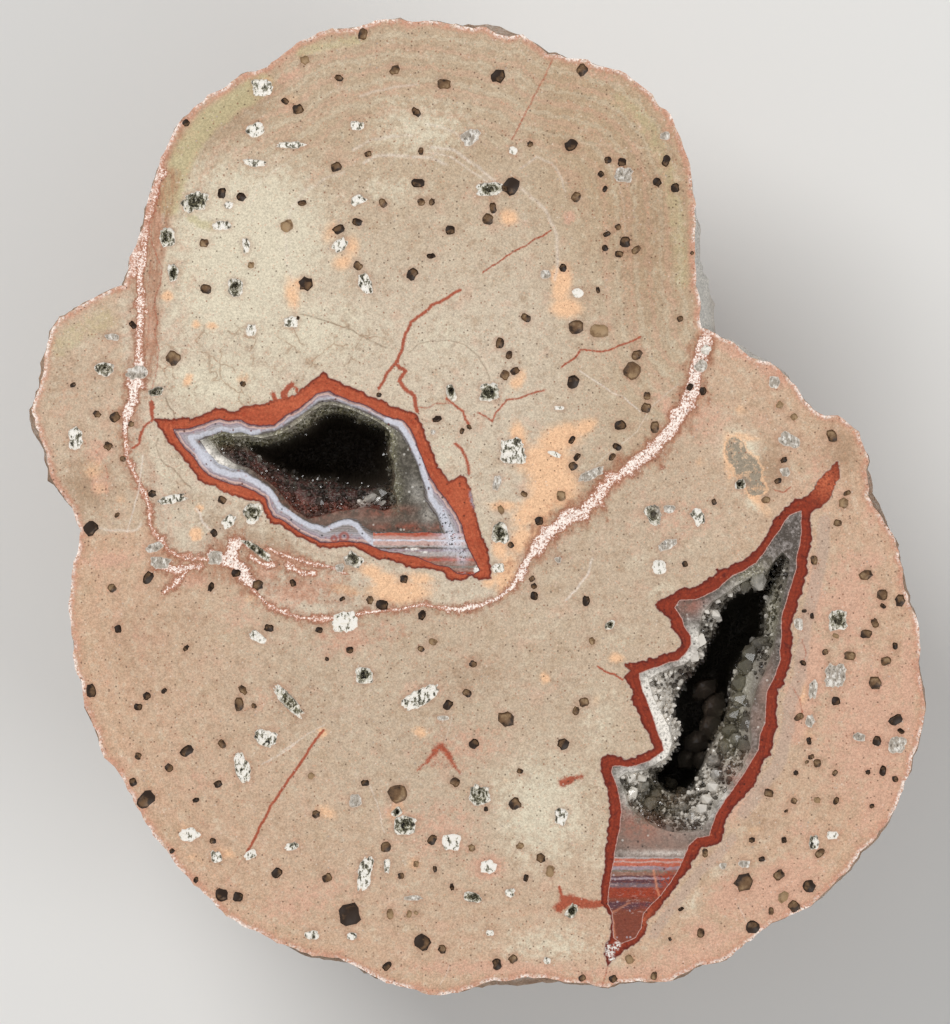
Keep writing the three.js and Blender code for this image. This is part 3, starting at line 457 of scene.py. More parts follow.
# Larger crystals of the two druses: grid place, radius and length in mm, lean (right, up) and tone.
UPPER_CRYSTALS = rows("""
    365,501,0.55,1.9,0.9,0.5,0.75 371,503,0.5,1.7,0.9,0.5,0.6 383,497,0.9,1.9,-0.3,0.5,0.35
    392,502,0.5,1.2,0.2,0.7,0.5 378,505,0.4,1.3,0.9,0.4,0.7 258,457,0.3,0.6,0.5,-0.2,0.7
    392,470,0.5,1,-0.9,0.1,0.3 290,492,0.5,0.9,0.3,0.7,0.1 320,505,0.6,1,0.1,0.8,0.1""")
LOWER_CRYSTALS = rows("""
    757,577,1.3,2.2,0.2,-0.6,0.7 746,582,0.9,1.6,-0.1,-0.8,0.5 710,612,0.7,1.8,0.7,-0.3,1
    715,617,0.5,1.4,0.6,-0.3,1 696,640,0.9,1.6,0.7,-0.2,0.9 692,654,0.8,1.4,0.5,-0.5,0.8
    698,652,0.6,1.2,0.6,-0.4,0.8 762,646,1.3,1.8,-0.5,0.25,0.5 753,655,1.2,1.8,-0.6,0.1,0.4
    748,668,1.2,1.7,-0.6,0.2,0.35 742,684,1.1,1.7,-0.6,0.1,0.45 741,700,1.2,1.7,-0.6,0.1,0.55
    737,716,1.1,1.7,-0.7,0,0.45 733,732,1.1,1.7,-0.7,0.1,0.4 747,722,1.1,1.3,-0.2,0.2,0.4
    739,706,0.5,1.3,-0.3,0.6,1 756,644,0.5,1.1,-0.3,0.7,0.8 728,748,1.1,1.8,-0.5,0.3,0.5
    746,748,1,1.5,-0.3,0.6,0.45 738,742,0.9,1.5,-0.3,0.6,0.6 718,764,0.9,2,-0.6,0.4,0.6
    720,778,0.8,1.8,-0.5,0.5,0.7 716,790,0.8,1.8,-0.5,0.4,0.8 710,802,0.8,1.7,-0.5,0.4,0.85
    704,812,0.8,1.6,-0.4,0.5,0.9 694,820,0.8,1.5,-0.2,0.7,0.7 684,812,0.7,1.5,0,0.7,0.6
    660,832,0.7,2,0.9,0.1,0.6 628,778,0.8,1.4,0.6,0.2,0.9 640,788,0.9,1.7,0.6,0.3,0.6
    630,796,0.8,1.6,0.5,0.5,0.8 648,806,1,1.8,0.5,0.4,0.5 654,794,0.8,1.6,0.4,-0.1,0.4
    640,776,0.7,1.4,0.4,-0.4,0.8 706,690,1.6,1.8,-0.2,0.3,0.12 716,708,1.8,2,-0.2,0.2,0.14
    712,728,1.8,2,-0.2,0.2,0.16 698,744,1.7,2,0,0.2,0.1 688,760,1.4,1.6,0.1,0.2,0.08
    704,762,1.5,1.8,-0.1,0.3,0.14 672,786,0.9,1.3,0.3,0.3,0.06 684,796,1,1.4,0,0.5,0.12""")
# Patches of each druse: bright (milky quartz, partly painted glints and sparkle on the crystals), warm
# (reddish), brown, calm (without small crystals) and lichen (grey-green).
UPPER_PATCHES = {
    "bright": rows("""
    366,500,10,4,30,0.7 206,452,9,8,-50,1.1 220,461,16,5,-25,1.1 200,443,6,5,0,0.7 298,425,26,4,35,0.3
    335,408,20,4,0,0.3 366,419,26,4,-25,0.3 417,492,6,13,20,0.3 428,515,7,10,0,0.3 255,439,28,4,0,0.3"""),
    "warm": rows("""
    300,505,30,9,-28,0.5 345,508,36,6,0,0.5 268,478,16,6,-35,0.4 410,527,40,4,0,0.7 228,446,6,5,0,0.4
    385,512,26,5,5,0.5"""),
    "brown": rows("300,425,26,6,35,0.4 350,520,60,8,0,0.5"),
    "calm": rows("345,497,30,12,5,0.8 300,490,30,14,-30,0.9 262,462,26,12,-30,0.8"),
    "lichen": rows("""
    225,440,16,7,5,1 255,441,22,6,-5,1.1 283,436,16,6,20,1.1 304,423,14,6,38,1.1 325,411,14,6,15,1.1
    345,412,16,6,-15,1.1 368,421,18,6,-28,1.1 388,434,6,14,20,1 392,460,5,16,0,0.6 396,490,6,18,0,0.4"""),
}
LOWER_PATCHES = {
    "bright": rows("""
    656,688,20,20,20,1.2 664,710,20,26,20,1.5 674,736,16,26,10,1.6 668,758,16,12,0,1.4
    690,806,26,22,0,0.45 728,745,14,34,15,0.5 696,640,8,14,15,0.9 688,657,14,7,30,0.8 632,776,16,9,0,0.9
    632,796,10,12,0,0.7 714,784,9,30,35,0.8 698,814,18,9,10,0.8 664,853,40,3,0,0.5 736,590,24,7,30,0.4
    740,690,6,30,-10,0.5 724,740,12,20,20,0.4 770,610,4,30,-5,0.45 710,614,8,8,0,0.8"""),
    "warm": rows("""
    692,606,14,9,10,0.5 640,824,24,14,0,0.6 736,778,10,20,30,0.7 733,778,5,6,0,1 748,758,12,10,0,0.3
    668,800,20,8,0,0.4 625,810,8,10,0,0.5"""),
    "brown": rows("""
    650,836,46,18,0,1.3 664,848,50,10,0,1.2 765,690,7,26,-10,0.9 760,722,12,20,0,0.7 690,606,14,8,0,0.7
    640,690,8,12,0,0.3 742,760,12,14,0,0.6 706,700,20,40,20,0.6"""),
    "calm": rows("""
    652,700,8,20,20,0.7 662,734,8,24,12,0.9 752,690,12,44,-8,1.1 752,730,12,30,0,1.1 738,776,12,20,30,0.9
    660,832,40,12,0,0.5 690,606,14,8,0,0.7"""),
    "lichen": rows("""
    740,690,8,40,-8,0.7 730,740,12,30,10,0.7 772,610,6,30,-5,0.7 750,575,20,9,30,0.6 660,800,30,20,0,0.5"""),
}

# ---------------------------------------------------------------- plane geometry


def inside(points, loop):
    """Which points lie inside a closed loop."""
    x, y = points[:, 0], points[:, 1]
    hit = np.zeros(len(points), bool)
    for (ax, ay), (bx, by) in zip(loop, np.roll(loop, -1, 0)):
        if ay != by:
            hit ^= ((ay > y) != (by > y)) & (x < (bx - ax) * (y - ay) / (by - ay) + ax)
    return hit


def between(points, outer, holes):
    """Which points lie inside a closed loop and outside all of its holes."""
    keep = inside(points, outer)
    for hole in holes:
        keep &= ~inside(points, hole)
    return keep


def distance(points, line, closed=False):
    """How far each point is from a line of straight pieces."""
    ends = np.roll(line, -1, 0) if closed else line[1:]
    nearest = np.full(len(points), 1e9)
    for start, end in zip(line, ends):
        way = end - start
        square = way @ way
        if square > 1e-12:
            part = np.clip(((points - start) @ way) / square, 0, 1)
            nearest = np.minimum(nearest, ((points - start - part[:, None] * way) ** 2).sum(1))
    return np.sqrt(nearest)


def depth_inside(points, loop):
    """Distance from a closed loop, positive inside it and negative outside."""
    return distance(points, loop, True) * np.where(inside(points, loop), 1, -1)


def densify(line, step, closed=True):
    """The same line with a point at least every step."""
    ends = np.roll(line, -1, 0) if closed else line[1:]
    pieces = []
    for start, end in zip(line, ends):
        count = max(1, math.ceil(np.linalg.norm(end - start) / step))
        pieces.append(start + (end - start) * np.arange(count)[:, None] / count)
    if not closed:
        pieces.append(line[-1:])
    return np.concatenate(pieces)


def warp(points, coarse=0.11, fine=0.055):
    """Points moved by a smooth wandering field, so that drawn edges turn out natural."""
    moved = [
        noise.noise_vector((x / 1.7, y / 1.7, 3.1)) * coarse
        + noise.noise_vector((x / 0.45, y / 0.45, 7.7)) * fine
        for x, y in points
    ]
    return points + np.array(moved)[:, :2]


def natural(outline, step=0.3, fine=0.055):
    """A drawn outline as a closed natural edge in millimetres."""
    return warp(densify(place(outline), step), 0.11, fine)


def toothed(outline):
    """The ragged outer edge of a jasper rim."""
    return natural(outline, 0.13, 0.24)


def smooth_step(low, high, value):
    part = np.clip((value - low) / (high - low), 0, 1)
    return part * part * (3 - 2 * part)


def scatter(low, high, step, generator):
    """Jittered points in staggered rows over a box."""
    across = np.arange(low[0], high[0], step)
    along = np.arange(low[1], high[1], step * 0.866)
    x, y = np.meshgrid(across, along)
    x[1::2] += step / 2
    points = np.stack([x.ravel(), y.ravel()], 1)
    return points + generator.uniform(-0.22, 0.22, points.shape) * step


def thin(groups, gaps):
    """Points of the groups in turn, without those nearer than the group's gap to one kept before."""
    cell = max(gaps)
    cells = {}
    kept = []
    for group, gap in zip(groups, gaps):
        for x, y in group:
            i, j = int(x // cell), int(y // cell)
            around = [(a, b) for a in (i - 1, i, i + 1) for b in (j - 1, j, j + 1)]
            near = (other for key in around for other in cells.get(key, ()))
            if all((x - u) ** 2 + (y - v) ** 2 >= gap * gap for u, v in near):
                cells.setdefault((i, j), []).append((x, y))
                kept.append((x, y))
    return np.array(kept)


def triangulate(loops, points):
    """Triangles over closed loops and loose points, with where each given point went."""
    coords = np.concatenate(loops + [points])
    edges = []
    first = 0
    for loop in loops:
        edges += [(first + i, first + (i + 1) % len(loop)) for i in range(len(loop))]
        first += len(loop)
    flat = [Vector(co) for co in coords.tolist()]
    made, _, faces, origins, _, _ = delaunay_2d_cdt(flat, edges, [], 0, 1e-5)
    went = np.zeros(len(coords), int)
    for index, sources in enumerate(origins):
        for source in sources:
            went[source] = index
    return np.array([co[:] for co in made]), np.array(faces), went


# ---------------------------------------------------------------- meshes


class Body:
    """Points and faces of a closed piece, in millimetres, on their way to becoming a mesh."""

    def __init__(self):
        self.points = np.zeros((0, 3))
        self.faces = []
        self.slots = []

    def add_points(self, points):
        first = len(self.points)
        self.points = np.concatenate([self.points, points])
        return np.arange(first, first + len(points))

    def add_faces(self, faces, slots=0):
        faces = [tuple(int(i) for i in face) for face in faces]
        self.faces += faces
        self.slots += [slots] * len(faces) if isinstance(slots, int) else [int(slot) for slot in slots]

    def flat(self, points, height=FACE):
        heights = np.broadcast_to(height, len(points)).reshape(-1, 1)
        return self.add_points(np.concatenate([points, heights], 1))

    def wall(self, ring, hollow, outline, depth, slot=0):
        """Takes a loop at the face down along the hollow's taper and closes it below."""
        levels = [level for level in hollow["levels"] if 0 < level < depth - 1] + [depth]
        for level in levels:
            below = self.flat(tapered(hollow, outline, level), FACE - level)
            self.add_faces(zip(ring, np.roll(ring, -1), np.roll(below, -1), below), slot)
            ring = below
        self.add_faces([ring], slot)

    def make(self, name, materials):
        mesh = bpy.data.meshes.new(name)
        mesh.from_pydata((self.points * METRE).tolist(), [], self.faces)
        for material in materials:
            mesh.materials.append(material)
        mesh.polygons.foreach_set("material_index", self.slots)
        work = bmesh.new()
        work.from_mesh(mesh)
        bmesh.ops.recalc_face_normals(work, faces=work.faces)
        work.to_mesh(mesh)
        work.free()
        piece = bpy.data.objects.new(name, mesh)
        bpy.context.scene.collection.objects.link(piece)
        return piece


def tapered(hollow, outline, level):
    """A hollow's outline at a depth below the face."""
    axis = place([hollow["axis"]])[0]
    return axis + (outline - axis) * (1 - hollow["draw_in"] * (level / hollow["reach"]) ** hollow["power"])


def deepest(hollow, outline, points, limit):
    """How deep each point may go and still be inside the hollow's tapered outline."""
    allowed = np.zeros(len(points))
    for level in np.arange(0, limit + 0.1, 0.75):
        allowed[inside(points, tapered(hollow, outline, level))] = level
    return allowed


def coordinates(mesh):
    values = np.empty(len(mesh.vertices) * 3, np.float32)
    mesh.vertices.foreach_get("co", values)
    return values.reshape(-1, 3).astype(float) / METRE


def write(piece, **fields):
    """Stores numbers on the piece's vertices for its materials."""
    for name, values in fields.items():
        layer = piece.data.attributes.new(name, "FLOAT", "POINT")
        layer.data.foreach_set("value", np.asarray(values, np.float32))


def crystals(body, places, directions, radii, lengths, slots, roof=FACE - 0.03):
    """Adds pointed six-sided crystals, none of them standing above the roof."""
    count = len(places)
    directions = directions / np.linalg.norm(directions, axis=1)[:, None]
    side = np.cross(directions, np.array([0.31, 0.17, 0.93]))
    side /= np.linalg.norm(side, axis=1)[:, None]
    other = np.cross(directions, side)
    generator = np.random.default_rng(count)
    spin = generator.uniform(0, math.pi, count)
    shape = np.linspace(0, 2 * math.pi, 7)[:6]
    rings = []
    for along, wide in ((-0.6, 1.0), (1.0, 1.0), (1.0, 0.34)):
        turn = spin[:, None] + shape[None, :]
        out = side[:, None] * np.cos(turn)[:, :, None] + other[:, None] * np.sin(turn)[:, :, None]
        flat = 1 + 0.18 * np.cos(2 * turn + spin[:, None])
        reach = np.where(along < 0, -0.6 * radii, lengths - radii * 0.9) if wide == 1.0 else lengths
        rings.append(places[:, None] + out * (radii[:, None] * flat * wide)[:, :, None]
                     + directions[:, None] * reach[:, None, None])
    tip = places + directions * (lengths + radii * 0.28)[:, None]
    block = np.concatenate([rings[0], rings[1], rings[2], tip[:, None]], 1)
    block[:, :, 2] = np.minimum(block[:, :, 2], roof)
    first = body.add_points(block.reshape(-1, 3))[0]
    pattern = [tuple(range(5, -1, -1))]
    for ring in (0, 6):
        pattern += [(ring + i, ring + (i + 1) % 6, ring + 6 + (i + 1) % 6, ring + 6 + i) for i in range(6)]
    pattern += [(12 + i, 12 + (i + 1) % 6, 18) for i in range(6)]
    for number in range(count):
        start = first + number * CRYSTAL_POINTS
        body.add_faces([tuple(start + i for i in face) for face in pattern], int(slots[number]))


# ---------------------------------------------------------------- materials


def tint(red, green, blue):
    """A screen colour as the light values that properties and sockets take."""
    values = [channel / 255 for channel in (red, green, blue)]
    return tuple(v / 12.92 if v <= 0.04045 else ((v + 0.055) / 1.055) ** 2.4 for v in values)


def shades(context):
    return context.scene.thunder_egg_colours


def sizes(context):
    return context.scene.thunder_egg_sizes


class Graph:
    """Short hand for building a node tree."""

    def __init__(self, tree):
        self.tree = tree

    @cached_property
    def where(self):
        """The place on the object, in millimetres."""
        spot = self.add("ShaderNodeTexCoord").outputs["Object"]
        return self.add("ShaderNodeVectorMath", {0: spot, 3: 1 / METRE}, operation="SCALE").outputs[0]

    def fill(self, node, inputs):
        for key, value in inputs.items():
            socket = node.inputs[key]
            if isinstance(value, bpy.types.NodeSocket):
                self.tree.links.new(value, socket)
            elif socket.type == "RGBA" and len(value) == 3:
                socket.default_value = (*value, 1)
            else:
                socket.default_value = value
        return node

    def add(self, kind, inputs=None, **settings):
        node = self.tree.nodes.new(kind)
        for name, value in settings.items():
            setattr(node, name, value)
        return self.fill(node, inputs or {})

    def group(self, tree, **inputs):
        return self.fill(self.add("ShaderNodeGroup", node_tree=tree), inputs).outputs

    def field(self, name):
        return self.add("ShaderNodeAttribute", attribute_name=name).outputs["Fac"]

    def noise(self, scale, detail=3.0, rough=0.55, vector=None, output="Fac"):
        settings = {"Vector": vector or self.where, "Scale": scale, "Detail": detail, "Roughness": rough}
        return self.add("ShaderNodeTexNoise", settings).outputs[output]

    def scaled(self, *factors):
        """The place in millimetres, stretched by a factor along each axis."""
        return self.add("ShaderNodeVectorMath", {0: self.where, 1: factors}, operation="MULTIPLY").outputs[0]

    def math(self, operation, first, second=0.0, third=0.0):
        return self.add("ShaderNodeMath", {0: first, 1: second, 2: third}, operation=operation).outputs[0]

    def times(self, first, *others):
        for other in others:
            first = self.math("MULTIPLY", first, other)
        return first

    def sway(self, value, wander, amount):
        """A value moved up and down by a noise."""
        return self.math("MULTIPLY_ADD", self.math("SUBTRACT", wander, 0.5), amount, value)

    def ramp(self, value, low, high, start=0.0, end=1.0):
        settings = {"Value": value, "From Min": low, "From Max": high, "To Min": start, "To Max": end}
        return self.add("ShaderNodeMapRange", settings, interpolation_type="SMOOTHSTEP").outputs["Result"]

    def mix(self, factor, first, second, blend="MIX"):
        return self.add("ShaderNodeMix", {0: factor, 6: first, 7: second}, data_type="RGBA", blend_type=blend,
                        clamp_factor=True).outputs[2]


def new_group(name, inputs, outputs):
    """A node group with numbers as inputs, and outputs of the kinds given."""
    tree = bpy.data.node_groups.new(name, "ShaderNodeTree")
    for socket_name, value in inputs.items():
        socket = tree.interface.new_socket(socket_name, in_out="INPUT", socket_type="NodeSocketFloat")
        socket.default_value = value
    for socket_name, kind in outputs.items():
        tree.interface.new_socket(socket_name, in_out="OUTPUT", socket_type="NodeSocket" + kind)
    return Graph(tree), tree.nodes.new("NodeGroupInput").outputs, tree.nodes.new("NodeGroupOutput")


def stone_grain():
    """Fine grain, blotches, specks and a matching relief of the surface, for every stone here."""
    name = "stone_grain"
    if name in bpy.data.node_groups:
        return bpy.data.node_groups[name]
    graph, given, result = new_group(
        name, {"Fineness": 5.0, "Relief": 0.02},
        dict.fromkeys(("Grain", "Blotch", "Speck", "Light", "Warm"), "Float") | {"Normal": "Vector"},
    )
    grain = graph.noise(given["Fineness"], 5.0, 0.78)
    coarser = graph.times(given["Fineness"], 0.5)
    dots = graph.add("ShaderNodeTexVoronoi", {"Vector": graph.where, "Scale": coarser})
    chance = graph.add("ShaderNodeSeparateColor", {0: dots.outputs["Color"]}).outputs
    spot = graph.ramp(dots.outputs["Distance"], 0.34, 0.16)
    height = graph.add("ShaderNodeBump", {"Height": grain, "Distance": graph.times(given["Relief"], METRE)})
    graph.fill(result, {
        "Grain": grain, "Blotch": graph.noise(0.9, 5.0, 0.68), "Normal": height.outputs[0],
        "Speck": graph.times(spot, graph.ramp(chance[0], 0.84, 0.86)),
        "Light": graph.times(spot, graph.ramp(chance[1], 0.90, 0.92)),
        "Warm": graph.times(spot, graph.ramp(chance[2], 0.82, 0.84)),
    })
    return graph.tree


def agate_ribbon():
    """Fine parallel ribbons at a distance from where the agate began to grow."""
    name = "agate_ribbon"
    if name in bpy.data.node_groups:
        return bpy.data.node_groups[name]
    inputs = {"Distance": 0.0, "Spacing": 0.3, "Wander": 0.1}
    graph, given, result = new_group(name, inputs, {"Band": "Float"})
    moved = graph.sway(given["Distance"], graph.noise(1.1, 2.0), given["Wander"])
    turn = graph.times(graph.math("DIVIDE", moved, given["Spacing"]), 2 * math.pi)
    second = graph.times(graph.math("SINE", graph.times(turn, 2.37)), 0.18)
    both = graph.math("MULTIPLY_ADD", graph.math("SINE", turn), 0.32, second)
    graph.fill(result, {"Band": graph.math("ADD", both, 0.5)})
    return graph.tree


class Stone(Graph):
    """A material in the making; every fixed value is set on the shader's own socket."""

    def __init__(self, context, name, fineness=0.0, relief=0.0, **sockets):
        self.material = bpy.data.materials.new(name)
        self.material.use_nodes = True
        super().__init__(self.material.node_tree)
        self.shader = self.tree.nodes["Principled BSDF"]
        self.fill(self.shader, {key.replace("_", " "): value for key, value in sockets.items()})
        self.tone = shades(context)
        self.grain = self.group(stone_grain(), Fineness=fineness, Relief=relief) if fineness else {}

    def layers(self, colour, *steps):
        """Lays named colours over a first one, each as strong as its masks multiplied."""
        colour = getattr(self.tone, colour) if isinstance(colour, str) else colour
        for name, *masks in steps:
            colour = self.mix(self.times(*masks), colour, getattr(self.tone, name))
        return colour

    def finish(self, colour, low=1.0, high=1.0, normal=None):
        """Connects the colour, made lighter and darker by the fine grain, and the relief."""
        if low < high:
            light = self.ramp(self.grain["Grain"], 0.3, 0.7, low, high)
            grey = self.add("ShaderNodeCombineColor", {0: light, 1: light, 2: light}).outputs[0]
            colour = self.mix(1.0, colour, grey, "MULTIPLY")
        self.fill(self.shader, {"Base Color": colour})
        if self.grain:
            self.fill(self.shader, {"Normal": normal or self.grain["Normal"]})
        return self.material


def seam_colour(stone, seam, chalky):
    """Pink-brown seams with white granules, more of them where a seam is chalky."""
    granules = stone.math("MULTIPLY_ADD", chalky, 0.11, stone.noise(4.6, 3.0, 0.8))
    return stone.layers(
        "seam_pink",
        ("seam_brown", stone.ramp(stone.noise(2.9, 3.0, 0.75), 0.52, 0.60, 0.0, 0.75)),
        ("granule", stone.ramp(stone.sway(granules, seam, 0.12), 0.57, 0.63)),
    )


def crack_gap(stone, fuzz):
    """The distance from the nearest crack of a net of them, bent and ragged."""
    bent = stone.add("ShaderNodeVectorMath", {0: stone.noise(0.35, 2.0, output="Color"), 1: (4.0, 4.0, 4.0),
                                              2: stone.where}, operation="MULTIPLY_ADD").outputs[0]
    plates = stone.add("ShaderNodeTexVoronoi", {"Vector": bent, "Scale": 0.27}, feature="DISTANCE_TO_EDGE")
    return stone.sway(plates.outputs["Distance"], fuzz, 0.05)


def rhyolite_face(context):
    """Polished rhyolite: beige to pink stone with patches, seams, veins and fine grain."""
    stone = Stone(context, "rhyolite_polished", 4.6, 0.004, Roughness=0.36, IOR=1.5, Specular_IOR_Level=0.3)
    tone, grain, field, ramp, sway = stone.tone, stone.grain, stone.field, stone.ramp, stone.sway
    fuzz, fine, cloud = stone.noise(1.2, 5.0, 0.72), stone.noise(3.2, 4.0, 0.75), stone.noise(0.33, 5.0, 0.66)

    def patch(name, low, high, amount, rough=1.5):
        raw = field(name)
        return name, ramp(sway(raw, fuzz, rough), low, high), amount, ramp(raw, 0.02, 0.3)

    edge, wash, mottle, seam, vein = (field(name) for name in ("edge", "wash", "mottle", "seam", "vein"))
    hair, rim_gap, chalky, lower_lobe = (field(name) for name in ("hair", "rim_gap", "chalky", "lower"))
    base = stone.mix(lower_lobe, stone.mix(field("tan"), tone.beige, tone.khaki),
                     stone.mix(sway(field("blush"), fuzz, 1.2), tone.taupe, tone.pink))
    washed = stone.times(ramp(sway(wash, fuzz, 1.4), 0.2, 0.9), ramp(wash, 0.02, 0.3, 0.0, 0.75))
    streaks = stone.noise(1.7, 4.0, 0.7, stone.scaled(1.0, 0.22, 1.0))
    rings = stone.group(agate_ribbon(), Distance=edge, Spacing=2.6, Wander=1.6)["Band"]
    ring_mask = stone.times(ramp(edge, 17.0, 8.0), stone.math("SUBTRACT", 1.0, stone.times(lower_lobe, 0.6)))
    gap = crack_gap(stone, fuzz)
    cracked = ramp(field("cracked"), 0.3, 0.7)
    stained = sway(mottle, fuzz, 0.8)
    on_seam = ramp(seam, 0.01, 0.1)
    ragged_seam = sway(seam, fine, 0.9)
    seam_tone = seam_colour(stone, seam, chalky)
    base = stone.layers(
        base,
        ("khaki", ramp(cloud, 0.52, 0.68, 0.0, 0.35)),
        ("rose", ramp(cloud, 0.46, 0.32, 0.0, 0.30)),
        ("umber", ramp(grain["Blotch"], 0.50, 0.68, 0.0, 0.40)),
        ("cream", ramp(grain["Blotch"], 0.46, 0.32, 0.0, 0.30)),
        ("rose", ring_mask, ramp(rings, 0.55, 0.85, 0.0, 0.30)),
        ("cream", ring_mask, ramp(rings, 0.40, 0.15, 0.0, 0.22)),
        patch("umber", 0.2, 0.9, 0.6),
        patch("cream", 0.2, 0.8, 0.85),
        patch("rose", 0.25, 0.8, 0.8),
        patch("olive", 0.2, 0.8, 0.7, 1.0),
        patch("peach", 0.10, 0.75, 0.88, 0.6),
        patch("veil", 0.2, 0.7, 0.75, 0.6),
        ("stain", washed, ramp(streaks, 0.36, 0.6, 0.45, 1.0)),
        ("veil", washed, ramp(streaks, 0.42, 0.32, 0.0, 0.6)),
        ("umber", ramp(gap, 0.20, 0.02, 0.0, 0.16), cracked),
        ("umber", ramp(gap, 0.040, 0.015, 0.0, 0.5), cracked, ramp(cloud, 0.44, 0.54)),
        ("cream", ramp(gap, 0.055, 0.02, 0.0, 0.6), cracked, ramp(cloud, 0.52, 0.44)),
        ("peach", ramp(stained, 0.26, 0.40, 0.0, 0.7), ramp(mottle, 0.02, 0.2)),
        ("ash", ramp(stained, 0.40, 0.52), ramp(fuzz, 0.66, 0.5, 0.2, 0.9)),
        ("hairline", ramp(stained, 0.5, 0.6), ramp(fine, 0.58, 0.68, 0.0, 0.5)),
        ("seam_brown", ramp(ragged_seam, 0.0, 0.30), on_seam, 0.75),
    )
    base = stone.mix(stone.times(ramp(ragged_seam, 0.22, 0.52), on_seam), base, seam_tone)
    broken = ramp(fuzz, 0.36, 0.5, 0.35, 1.0)
    return stone.finish(stone.layers(
        base,
        ("seam_white", ramp(hair, 0.25, 0.9, 0.0, 0.85), broken),
        ("hairline", ramp(hair, -0.25, -0.9, 0.0, 0.7), broken),
        ("seam_brown", field("halo"), 0.28),
        ("veil", ramp(rim_gap, 0.30, 0.08, 0.0, 0.55)),
        ("purple", ramp(rim_gap, 0.10, 0.03, 0.0, 0.6)),
        ("seam_pink", ramp(edge, 1.2, 0.2), ramp(fuzz, 0.38, 0.54, 0.15, 0.85)),
        ("granule", ramp(edge, 0.6, 0.08), ramp(fine, 0.42, 0.54), ramp(cloud, 0.42, 0.56, 0.1, 1.0)),
        ("vein", ramp(sway(vein, fine, 0.9), 0.22, 0.75, 0.0, 0.95), ramp(vein, 0.02, 0.2)),
        ("speck", grain["Speck"], 0.7),
        ("salmon", grain["Warm"], 0.28),
        ("seam_white", grain["Light"], 0.45),
    ), 0.72, 1.27)


def rhyolite_skin(context):
    """The rough weathered outside, paler in the creases and at the top of the upper lobe."""
    stone = Stone(context, "rhyolite_skin", 3.0, 0.16, Roughness=0.86, IOR=1.45)
    grain, ramp = stone.grain, stone.ramp
    patches, speckle = stone.noise(0.17, 7.0, 0.78), stone.noise(2.2, 4.0, 0.7)
    crumbs = stone.noise(0.8, 5.0, 0.78)
    crumb_height = 0.9 * METRE
    bumps = stone.add("ShaderNodeBump", {"Height": crumbs, "Distance": crumb_height,
                                         "Normal": grain["Normal"]})
    return stone.finish(stone.layers(
        "skin",
        ("skin_brown", ramp(patches, 0.44, 0.66, 0.0, 0.7)),
        ("seam_pink", ramp(patches, 0.44, 0.32, 0.0, 0.6)),
        ("seam_white", ramp(stone.field("relief"), 0.25, -0.35, 0.0, 0.7), ramp(crumbs, 0.44, 0.56)),
        ("umber", ramp(crumbs, 0.42, 0.30, 0.0, 0.55)),
        ("salmon", ramp(speckle, 0.58, 0.66), 0.45),
        ("speck", grain["Speck"], 0.5),
        ("seam_pink", grain["Warm"], 0.5),
        ("chalk", stone.field("pale")),
    ), 0.70, 1.22, bumps.outputs[0])


def grain_material(context):
    """Glassy brown quartz grains with painted light on one side and painted shade on the other, and a dark
    edge.
    """
    stone = Stone(context, "quartz_grain", 3.0, 0.006, Roughness=0.5, IOR=1.5, Specular_IOR_Level=0.25)
    value = stone.sway(stone.field("tone"), stone.noise(2.2, 4.0, 0.7), 0.9)
    return stone.finish(stone.layers("grain_dark", ("grain_brown", stone.ramp(value, 0.10, 0.55)),
                                     ("grain_tan", stone.ramp(value, 0.50, 1.05))))


def feldspar_material(context):
    """White porous feldspar with dark holes, some of it hollow, some grey and dense."""
    stone = Stone(context, "feldspar", Roughness=0.8, IOR=1.45)
    ramp, hollow, stretched = stone.ramp, stone.field("hollow"), stone.scaled(1.0, 0.6, 1.0)
    raw = stone.noise(2.0, 4.0, 0.72, stretched)
    solid = stone.math("ADD", ramp(hollow, 0.5, 0.95, 0.0, 0.07), ramp(hollow, -0.2, -0.8, 0.0, -0.05))
    holes = stone.math("ADD", raw, solid)
    base = stone.layers(
        "chalk",
        ("cream", ramp(stone.noise(3.5, 3.0, 0.7), 0.50, 0.66, 0.0, 0.6)),
        ("lichen", ramp(hollow, 0.35, 0.85, 0.0, 0.85), ramp(raw, 0.36, 0.5)),
        ("moss", ramp(holes, 0.49, 0.54, 0.0, 0.85)),
        ("hole", ramp(holes, 0.54, 0.62)),
        ("moss", ramp(holes, 0.6, 0.64), ramp(stone.noise(3.0, 3.0, 0.7), 0.46, 0.6, 0.0, 0.75)),
    )
    grey = stone.layers(
        "feldspar_grey",
        ("chalk", ramp(raw, 0.48, 0.38, 0.0, 0.85)),
        ("grain_dark", ramp(stone.noise(3.4, 3.0, 0.75, stretched), 0.55, 0.63, 0.0, 0.85)),
    )
    base = stone.mix(stone.times(stone.field("greyness"), 0.8), base, grey)
    border = ramp(stone.field("from_loop"), 0.14, 0.02, 0.0, 0.5)
    return stone.finish(stone.layers(base, ("seam_white", border)))


